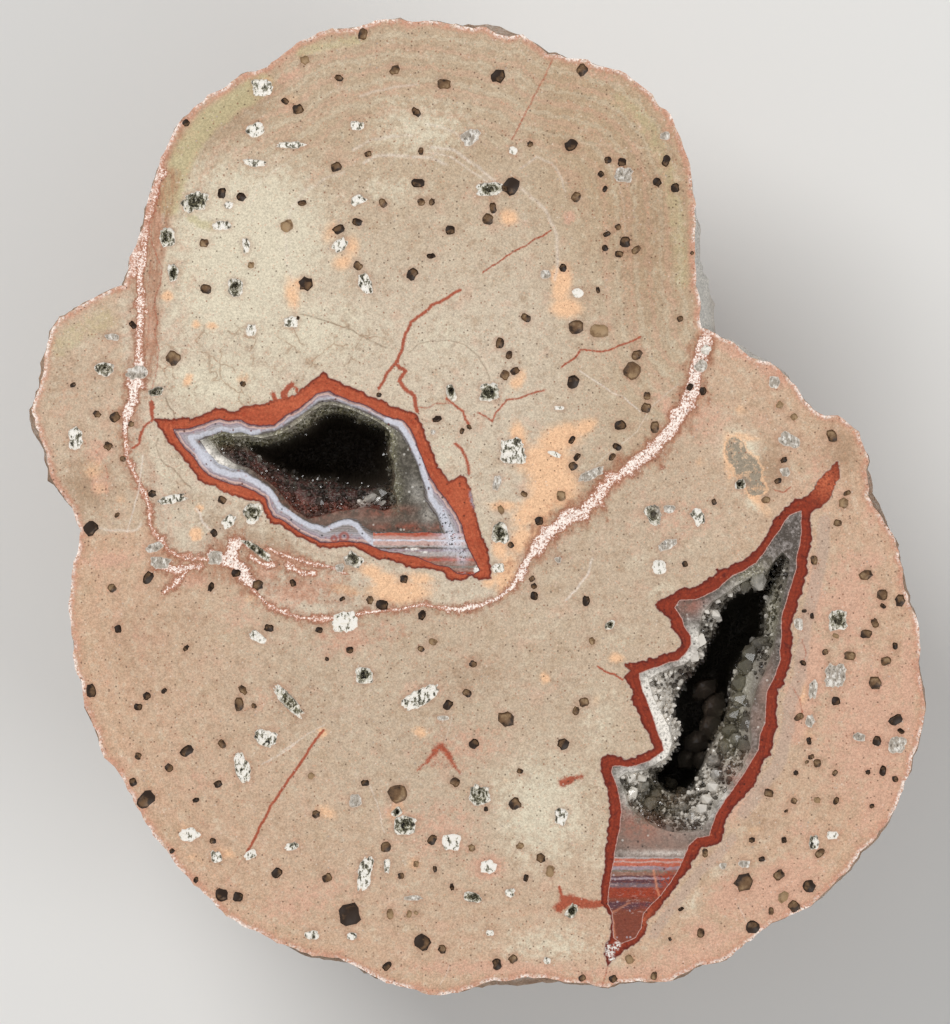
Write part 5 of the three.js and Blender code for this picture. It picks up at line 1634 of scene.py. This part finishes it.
class THUNDER_EGG_OT_jasper(bpy.types.Operator):
    """Red jasper rims of the two hollows"""

    bl_idname = "thunder_egg.jasper"
    bl_label = "Jasper rims"

    def execute(self, context):
        for name, hollow, slot in (("upper", UPPER, "bright_jasper"), ("lower", LOWER, "dark_jasper")):
            rim, lining = toothed(hollow["rim"]), natural(hollow["lining"])
            material = jasper_material(context, name + "_jasper", name == "upper")
            piece, flat = lined(name + "_jasper", hollow, rim, hollow["rim_depth"] - SEAT,
                                [(lining, hollow["lining_depth"])], 0.24, material)
            patches = JASPER_PATCHES[name]
            grey, glow, sparkle = (spot_field(flat, patches[kind]) for kind in ("grey", "glow", "sparkle"))
            write(piece, from_inside=distance(flat, lining, True), from_outside=distance(flat, rim, True),
                  glow=glow, grey=smooth_step(0.4, 0.7, grey), sparkle=smooth_step(0.35, 0.7, sparkle))
            settle(piece, name + "_jasper_rim", slot)
        return {"FINISHED"}


def waterline_corner():
    """Outlines of the upper agate bands and of the level agate that fills their low corner."""
    left, top = WATER_CORNER
    lining = UPPER["lining"]
    over = next(i for i, (u, v) in enumerate(lining) if u > left and v > top)
    back = next(i for i, (u, v) in enumerate(lining) if i > over and u < left)
    (au, av), (bu, bv) = lining[over - 1], lining[over]
    right = (au + (bu - au) * (top - av) / (bv - av), top)
    (au, av), (bu, bv) = lining[back - 1], lining[back]
    low = (left, av + (bv - av) * (left - au) / (bu - au))
    bands = lining[:over] + [right, (left, top), low] + lining[back:]
    level = [right] + lining[over:back] + [low, (left, top)]
    return bands, level


def level_split(outline, top):
    """A drawn outline cut at a level: what lies above it and what lies below it."""
    parts = []
    for side in (-1, 1):
        part = []
        for (au, av), (bu, bv) in zip(outline, outline[1:] + outline[:1]):
            if (av - top) * side >= 0:
                part.append((au, av))
            if (av - top) * (bv - top) < 0:
                part.append((au + (bu - au) * (top - av) / (bv - av), top))
        parts.append(part)
    return parts


class THUNDER_EGG_OT_agate(bpy.types.Operator):
    """Banded agate of the upper hollow and the level-laid agates of both"""

    bl_idname = "thunder_egg.agate"
    bl_label = "Agates"

    def execute(self, context):
        self.bands(context)
        corner = natural(waterline_corner()[1], 0.22)
        self.level(context, "upper", UPPER, corner, 0.15, 0.25, UPPER_STRIPES, UPPER_LEVEL, "waterline_agate")
        bottom = natural(level_split(LOWER["lining"], WATERLINE_TOP)[1], 0.25)
        self.level(context, "lower", LOWER, bottom, 0.18, 0.35, LOWER_STRIPES, LOWER_LEVEL, "brown_jasper")
        return {"FINISHED"}

    def bands(self, context):
        outside, hole = natural(waterline_corner()[0], 0.22), natural(UPPER["quartz"], 0.22)
        piece, flat = lined("upper_agate", UPPER, outside, UPPER["lining_depth"] - SEAT,
                            [(hole, UPPER["quartz_depth"])], 0.17, agate_material(context))
        loops = np.zeros(len(flat))
        for across, down, radius in RED_LOOPS:
            gap = np.abs(np.linalg.norm(flat - place([(across, down)])[0], axis=1) - radius * GRID)
            loops = np.maximum(loops, smooth_step(0.3, 0.05, gap))
        write(piece, from_outside=distance(flat, natural(UPPER["lining"], 0.22), True), loops=loops,
              white=np.maximum(line_field(flat, WHITE_BAND), spot_field(flat, AGATE_HAZE)),
              glassy=smooth_step(0.55, 0.10, distance(flat, hole, True)), dots=spot_field(flat, AGATE_DOTS))
        settle(piece, "upper_agate_bands", "banded_agate")

    def level(self, context, name, hollow, outline, step, wobble, stripes, patches, slot):
        material = level_material(context, name + "_waterline", stripes, wobble)
        depth = hollow["lining_depth"] - SEAT
        piece, flat = lined(name + "_waterline", hollow, outline, depth, [], step, material)
        write(piece, white=smooth_step(0.35, 0.6, spot_field(flat, patches["white"])),
              warm=spot_field(flat, patches["warm"]), speckled=spot_field(flat, patches["speckled"]),
              fill=smooth_step(-0.2, 0.2, depth_inside(flat, place(patches["fill"]))),
              line=line_field(flat, patches["line"]))
        settle(piece, name + "_waterline_agate", slot)


# ---------------------------------------------------------------- the crystal crusts


LIP_DROP = 0.2                  # how far the druse lies below the polished quartz beside it
SLOPE_DROP = 2.8                # how much further it slopes down to the dark hole
HOLE_DROP = 14                  # how much further the hole falls, most of it within HOLE_EASE
HOLE_EASE = 0.9
BIG_FLOOR = 6.5                 # the larger crystals stand no deeper than this


class Slope:
    """The floor of a crust: level at its lip, sloping to a dark hole, with a calm middle in places."""

    def __init__(self, hollow, outline, depth, patches):
        self.hollow, self.depth, self.patches = hollow, depth, patches
        self.seed = len(outline)
        self.edge = natural(outline, 0.25)
        self.lip = natural(hollow["lip"], 0.25)
        self.dark = natural(hollow["dark"], 0.25)

    def down(self, points):
        """How far below the face the floor lies at each point."""
        shore = np.clip(depth_inside(points, self.lip), 0, None)
        hole = depth_inside(points, self.dark)
        slope = shore / (shore + np.clip(-hole, 0, None) + 1e-6)
        calm = np.clip(spot_field(points, self.patches["calm"]), 0, 1)
        slopes = LIP_DROP * np.clip(shore * 6, 0, 1) + SLOPE_DROP * slope ** 0.85 * (1 - 0.6 * calm)
        down = np.where(shore > 0, slopes, 0)
        down += np.where(hole > 0, HOLE_DROP * (1 - np.exp(-np.clip(hole, 0, None) / HOLE_EASE)), 0)
        rough = np.array([noise.noise((x * 1.6, y * 1.6, 2.2)) * 0.5 + noise.noise((x * 4, y * 4, 5.1)) * 0.25
                          for x, y in points])
        down += rough * np.clip(shore * 1.5, 0, 1) * (1 - 0.75 * calm)
        room = deepest(self.hollow, self.edge, points, self.depth - 1.2)
        down = np.minimum(down, np.maximum(room - 0.8, 0))
        return np.clip(down, 0, self.depth - 1.5)

    def build(self, body, generator):
        """Adds the floor with the polished quartz around it, and the walls below."""
        loose = scatter(self.edge.min(0), self.edge.max(0), 0.17, generator)
        beside_lip = np.abs(depth_inside(loose, self.lip)) <= 0.06
        loose = loose[(depth_inside(loose, self.edge) > 0.08) & ~beside_lip]
        made, triangles, went = triangulate([self.edge, self.lip], loose)
        triangles = triangles[inside(made[triangles].mean(1), self.edge)]
        down = self.down(made)
        number = np.full(len(made), -1)
        used = np.unique(triangles)
        number[used] = body.flat(made[used], FACE - down[used])
        body.add_faces(number[triangles], DRUSE * inside(made[triangles].mean(1), self.lip))
        body.wall(number[went[:len(self.edge)]], self.hollow, self.edge, self.depth)

    def small_crystals(self, body, size, spacing, dim, generator):
        """Sets the druse with small crystals and returns how light each one is."""
        spots = scatter(self.lip.min(0), self.lip.max(0), spacing, generator)
        shore, hole = depth_inside(spots, self.lip), depth_inside(spots, self.dark)
        calm = spot_field(spots, self.patches["calm"])
        free = calm < generator.uniform(0.35, 1.3, len(spots))
        spots = spots[(shore > size * 0.2) & (hole < 0.45) & free]
        floor = self.down(spots)
        tilt = np.stack([
            (self.down(spots + [0.25, 0]) - self.down(spots - [0.25, 0])) * 2,
            (self.down(spots + [0, 0.25]) - self.down(spots - [0, 0.25])) * 2,
            np.ones(len(spots)),
        ], 1)
        tilt[:, :2] = np.clip(tilt[:, :2], -1.3, 1.3)
        lean = tilt + generator.normal(0, 0.42, tilt.shape) + [0, 0, 0.3]
        radii = size * generator.uniform(0.22, 0.62, len(spots)) ** 1.1
        lengths = radii * generator.uniform(1.2, 2.4, len(spots))
        # light: the bright patches, where crystals turn milky white, partly milky quartz and partly painted
        # glints
        light = np.clip(spot_field(spots, self.patches["bright"]), 0, 1)
        shade = generator.uniform(0, 0.9, len(spots)) ** dim
        shade = np.clip(shade + light * generator.uniform(0.3, 1.1, len(spots)), 0, 1)
        places = np.concatenate([spots, (FACE - floor)[:, None]], 1)
        crystals(body, places, lean, radii, lengths, np.where(shade > MILKY_FROM, MILKY, CLEAR))
        return shade

    def large_crystals(self, body, big):
        """Sets the larger crystals one by one and returns how light each one is."""
        across, down, radii, lengths, right, up, shade = np.array(big).T
        centres = place(np.stack([across, down], 1))
        floor = FACE - np.minimum(self.down(centres), BIG_FLOOR) - 0.5
        leans = np.stack([right, up, np.full(len(big), 0.75)], 1)
        crystals(body, np.concatenate([centres, floor[:, None]], 1), leans, radii, lengths,
                 np.where(shade > 0.75, MILKY, CLEAR))
        return shade


def crust(name, slope, big, size, spacing, dim, materials):
    """Polished quartz flush with the face, sloping druse and a deep dark hole, set with crystals.

    Size and spacing are those of the small crystals, and a higher dim leaves more of them dark.
    """
    generator = np.random.default_rng(slope.seed)
    body = Body()
    slope.build(body, generator)
    plain = np.full(len(body.points), 0.5)
    small = slope.small_crystals(body, size, spacing, dim, generator)
    shade = np.append(small, slope.large_crystals(body, big))
    piece = body.make(name, materials)
    at = coordinates(piece.data)
    # deep carries how far below the face each point lies, for the painted shade of the druse and crystals
    write(piece, deep=np.clip((FACE - at[:, 2]) / 12, 0, 1),
          shade=np.concatenate([plain, np.repeat(shade, CRYSTAL_POINTS)]),
          **{kind: np.clip(spot_field(at[:, :2], spots), 0, 1) for kind, spots in slope.patches.items()})
    return piece


class THUNDER_EGG_OT_crusts(bpy.types.Operator):
    """Quartz crusts of the two hollows with their crystals"""

    bl_idname = "thunder_egg.crusts"
    bl_label = "Quartz crusts"

    def execute(self, context):
        size = sizes(context)
        upper, lower = size.druse_upper / METRE, size.druse_lower / METRE
        smoky = [
            polished_quartz(context, "polished_smoky_quartz", True),
            druse_material(context, "brown_druse", "druse_brown"),
            crystal_material(context, "smoky_crystal", 0.6),
            crystal_material(context, "milky_crystal_upper", 0.3),
        ]
        slope = Slope(UPPER, UPPER["quartz"], UPPER["quartz_depth"] - SEAT, UPPER_PATCHES)
        piece = crust("upper_crust", slope, UPPER_CRYSTALS, upper, upper, 5.0, smoky)
        settle(piece, "upper_quartz_crust", "smoky_quartz")
        clear = [
            polished_quartz(context, "polished_clear_quartz", False),
            druse_material(context, "grey_druse", "quartz_grey"),
            crystal_material(context, "clear_crystal", 0.6),
            crystal_material(context, "milky_crystal", 0.2),
        ]
        above = level_split(LOWER["lining"], WATERLINE_TOP)[0]
        slope = Slope(LOWER, above, LOWER["lining_depth"] - SEAT, LOWER_PATCHES)
        piece = crust("lower_crust", slope, LOWER_CRYSTALS, lower, lower * 0.85, 1.7, clear)
        settle(piece, "lower_quartz_crust", "clear_quartz")
        return {"FINISHED"}


# ---------------------------------------------------------------- floor, light and camera

# The lights' places and powers, and the camera's height above the face, in metres and watts.
LIGHTS = {"key": ((-0.45, 0.5, 0.75), 6.5), "fill": ((0.6, -0.35, 0.6), 2.9)}
LIGHT_SIZE = 0.5
LIGHT_AIM = (0, 0, 0.03)
SKY_COLOUR = (0.93, 0.96, 1.0, 1)
SKY_STRENGTH = 0.40
CAMERA_HEIGHT = 1.2
CAMERA_SIGHT = 10
FLOOR_SIZE = 5.0
VIEW_MIDDLE = (475, 512)        # the place of the drawing grid that the camera looks at


class THUNDER_EGG_OT_stage(bpy.types.Operator):
    """Pale floor, soft light from two sides and a camera straight above the face"""

    bl_idname = "thunder_egg.stage"
    bl_label = "Stage"

    def execute(self, context):
        scene = context.scene
        scene.view_settings.view_transform = "Standard"
        bpy.ops.object.select_all(action="DESELECT")
        bpy.ops.mesh.primitive_plane_add(size=FLOOR_SIZE, location=(0, 0, 0))
        floor = context.object
        floor.name = "floor"
        paint = Stone(context, "floor", Roughness=0.9)
        floor.data.materials.append(paint.finish(paint.tone.floor))
        world = bpy.data.worlds.new("sky")
        world.use_nodes = True
        sky = world.node_tree.nodes["Background"]
        sky.inputs["Color"].default_value = SKY_COLOUR
        sky.inputs["Strength"].default_value = SKY_STRENGTH
        scene.world = world
        for name, (where, power) in LIGHTS.items():
            data = bpy.data.lights.new(name, "AREA")
            data.energy = power
            data.size = LIGHT_SIZE
            lamp = bpy.data.objects.new(name, data)
            lamp.location = where
            lamp.rotation_euler = (Vector(LIGHT_AIM) - Vector(where)).to_track_quat("-Z", "Y").to_euler()
            scene.collection.objects.link(lamp)
        data = bpy.data.cameras.new("camera")
        data.lens = sizes(context).camera_lens
        camera = bpy.data.objects.new("camera", data)
        camera.location = (*place([VIEW_MIDDLE])[0] * METRE, FACE * METRE + CAMERA_HEIGHT)
        data.clip_end = CAMERA_SIGHT
        scene.collection.objects.link(camera)
        scene.camera = camera
        return {"FINISHED"}


# ---------------------------------------------------------------- the add-on


def colour(name, description, *shade):
    return FloatVectorProperty(name=name, description=description, subtype="COLOR", size=3, min=0, max=1,
                               default=tint(*shade))


def length(name, description, millimetres):
    return FloatProperty(name=name, description=description, default=millimetres * METRE, unit="LENGTH")


class ThunderEggSizes(bpy.types.PropertyGroup):
    wart_height: length("Wart height", "Relief of the rough outside", 0.9)
    pit_depth: length("Pit depth", "Depth of the weathered feldspars", 0.45)
    grain_depth: length("Grain depth", "How far the quartz grains lie below the polish", 0.3)
    face_spacing: length("Face spacing", "Spacing of points in the sawn face", 0.6)
    druse_upper: length("Upper druse", "Size of the small crystals of the upper hollow", 0.5)
    druse_lower: length("Lower druse", "Size of the small crystals of the lower hollow", 0.6)
    camera_lens: FloatProperty(name="Lens", description="Focal length of the camera", default=337.5,
                               subtype="DISTANCE_CAMERA")


class ThunderEggColours(bpy.types.PropertyGroup):
    beige: colour("Beige", "Rhyolite in the middle of the face", 206, 189, 166)
    khaki: colour("Khaki", "Rhyolite towards the top", 182, 156, 126)
    taupe: colour("Taupe", "Rhyolite in the middle of the lower lobe", 196, 174, 149)
    hairline: colour("Hairline", "Dark hairlines", 136, 114, 92)
    olive: colour("Olive", "Greenish bands near the edge of the upper lobe", 190, 178, 136)
    lichen: colour("Grey-green", "Insides of the hollow feldspars", 152, 146, 112)
    ash: colour("Ash", "Grey stain in the lower lobe", 142, 134, 118)
    umber: colour("Umber", "Brown shadows in the rhyolite", 158, 126, 98)
    veil: colour("Veil", "Greyish strip beside the lower hollow", 188, 162, 143)
    pink: colour("Pink", "Rhyolite towards the outer edge", 204, 166, 136)
    cream: colour("Cream", "Pale patches", 220, 209, 184)
    rose: colour("Rose", "Pink patches", 212, 167, 142)
    peach: colour("Peach", "Peach patches", 240, 192, 150)
    moss: colour("Moss", "Grey-green stains and holes", 112, 106, 78)
    seam_pink: colour("Seam pink", "Granular seams between the lobes", 196, 140, 114)
    stain: colour("Stain", "Brown stain beside the seams", 164, 112, 84)
    seam_brown: colour("Seam brown", "Dark lines beside the seams", 150, 92, 66)
    granule: colour("Granule", "White granules of the seams", 248, 232, 220)
    seam_white: colour("Seam white", "White granules of the seams and the edge", 222, 206, 190)
    feldspar_grey: colour("Grey feldspar", "Dense grey feldspars", 168, 156, 142)
    chalk: colour("Chalk", "White grains and feldspars", 240, 234, 224)
    salmon: colour("Salmon", "Thin line along the edge of the face", 214, 142, 108)
    vein: colour("Vein", "Red veins", 164, 76, 50)
    speck: colour("Speck", "Dark specks", 84, 58, 44)
    skin: colour("Skin", "Rough outside", 190, 158, 132)
    skin_brown: colour("Brown skin", "Darker patches of the outside", 150, 112, 86)
    grain_dark: colour("Dark quartz", "Dark quartz grains", 50, 36, 26)
    grain_brown: colour("Brown quartz", "Brown quartz grains", 112, 84, 58)
    grain_tan: colour("Tan quartz", "Light quartz grains", 164, 136, 102)
    hole: colour("Hole", "Deep dark places", 26, 20, 18)
    jasper_bright: colour("Bright jasper", "Jasper of the upper hollow", 172, 82, 54)
    jasper_mid: colour("Red jasper", "Redder parts of both rims", 154, 62, 38)
    jasper_orange: colour("Orange jasper", "Lightest parts of the rims", 200, 108, 74)
    jasper_dark: colour("Dark jasper", "Jasper of the lower hollow", 138, 54, 34)
    jasper_deep: colour("Deep jasper", "Darkest parts of the rims", 96, 36, 28)
    purple: colour("Purple", "Dark line where the agate starts", 92, 58, 64)
    agate_white: colour("White agate", "White-blue agate", 210, 210, 218)
    agate_blue: colour("Blue agate", "Blue-grey lines in the white band", 168, 172, 188)
    agate_mauve: colour("Mauve agate", "Mauve agate", 158, 142, 148)
    agate_pink: colour("Pink agate", "Pink agate", 206, 172, 160)
    agate_grey: colour("Grey agate", "Grey agate", 168, 164, 166)
    agate_shadow: colour("Agate shadow", "Dark lines of the agate", 118, 100, 104)
    water_orange: colour("Level orange", "Orange-red stripes of the level agate", 190, 104, 82)
    water_pink: colour("Level pink", "Pinkish grey stripes of the level agate", 198, 164, 154)
    water_brown: colour("Level brown", "Brown stripes of the level agate", 146, 108, 92)
    water_red: colour("Level red", "Red stripes of the lower level agate", 146, 62, 44)
    jasper_fill: colour("Jasper fill", "Red-brown fill at the bottom of the lower hollow", 128, 68, 52)
    # milky quartz, and also painted glints and sparkle on the crystals
    milk_and_glint: colour("Milky quartz", "Brightest quartz of both crusts", 238, 230, 218)
    chalcedony: colour("Chalcedony", "Hazy brown-pink quartz", 146, 118, 104)
    # olive quartz of the polished crusts, and also the painted shade deep in the hollows
    quartz_olive_and_depth_shade: colour("Olive quartz", "Darkest clear quartz", 70, 64, 54)
    quartz_smoke: colour("Smoky quartz", "Dark quartz", 86, 76, 68)
    quartz_grey: colour("Grey quartz", "Grey quartz", 126, 118, 106)
    quartz_pale: colour("Pale quartz", "Pale quartz", 172, 162, 156)
    druse_brown: colour("Brown druse", "Floor of the upper cavity", 70, 40, 34)
    floor: colour("Floor", "Floor under the stone", 226, 224, 220)


class THUNDER_EGG_PT_panel(bpy.types.Panel):
    """Sizes, colours and pieces of the thunder egg"""

    bl_idname = "THUNDER_EGG_PT_panel"
    bl_label = "Thunder egg"
    bl_space_type = "VIEW_3D"
    bl_region_type = "UI"
    bl_category = "Thunder egg"

    def draw(self, context):
        column = self.layout.column(align=True)
        for operator in OPERATORS:
            column.operator(operator.bl_idname)
        for group in (sizes(context), shades(context)):
            column.separator()
            for name in group.__annotations__:
                column.prop(group, name)


OPERATORS = (THUNDER_EGG_OT_nodule, THUNDER_EGG_OT_jasper, THUNDER_EGG_OT_agate, THUNDER_EGG_OT_crusts,
             THUNDER_EGG_OT_stage)
CLASSES = (ThunderEggSizes, ThunderEggColours, *OPERATORS, THUNDER_EGG_PT_panel)


def register():
    for cls in CLASSES:
        bpy.utils.register_class(cls)
    bpy.types.Scene.thunder_egg_sizes = PointerProperty(type=ThunderEggSizes)
    bpy.types.Scene.thunder_egg_colours = PointerProperty(type=ThunderEggColours)


def unregister():
    del bpy.types.Scene.thunder_egg_colours
    del bpy.types.Scene.thunder_egg_sizes
    for cls in reversed(CLASSES):
        bpy.utils.unregister_class(cls)


def main():
    register()
    bpy.ops.thunder_egg.nodule()
    bpy.ops.thunder_egg.jasper()
    bpy.ops.thunder_egg.agate()
    bpy.ops.thunder_egg.crusts()
    bpy.ops.thunder_egg.stage()
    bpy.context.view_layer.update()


if __name__ == "__main__":
    main()
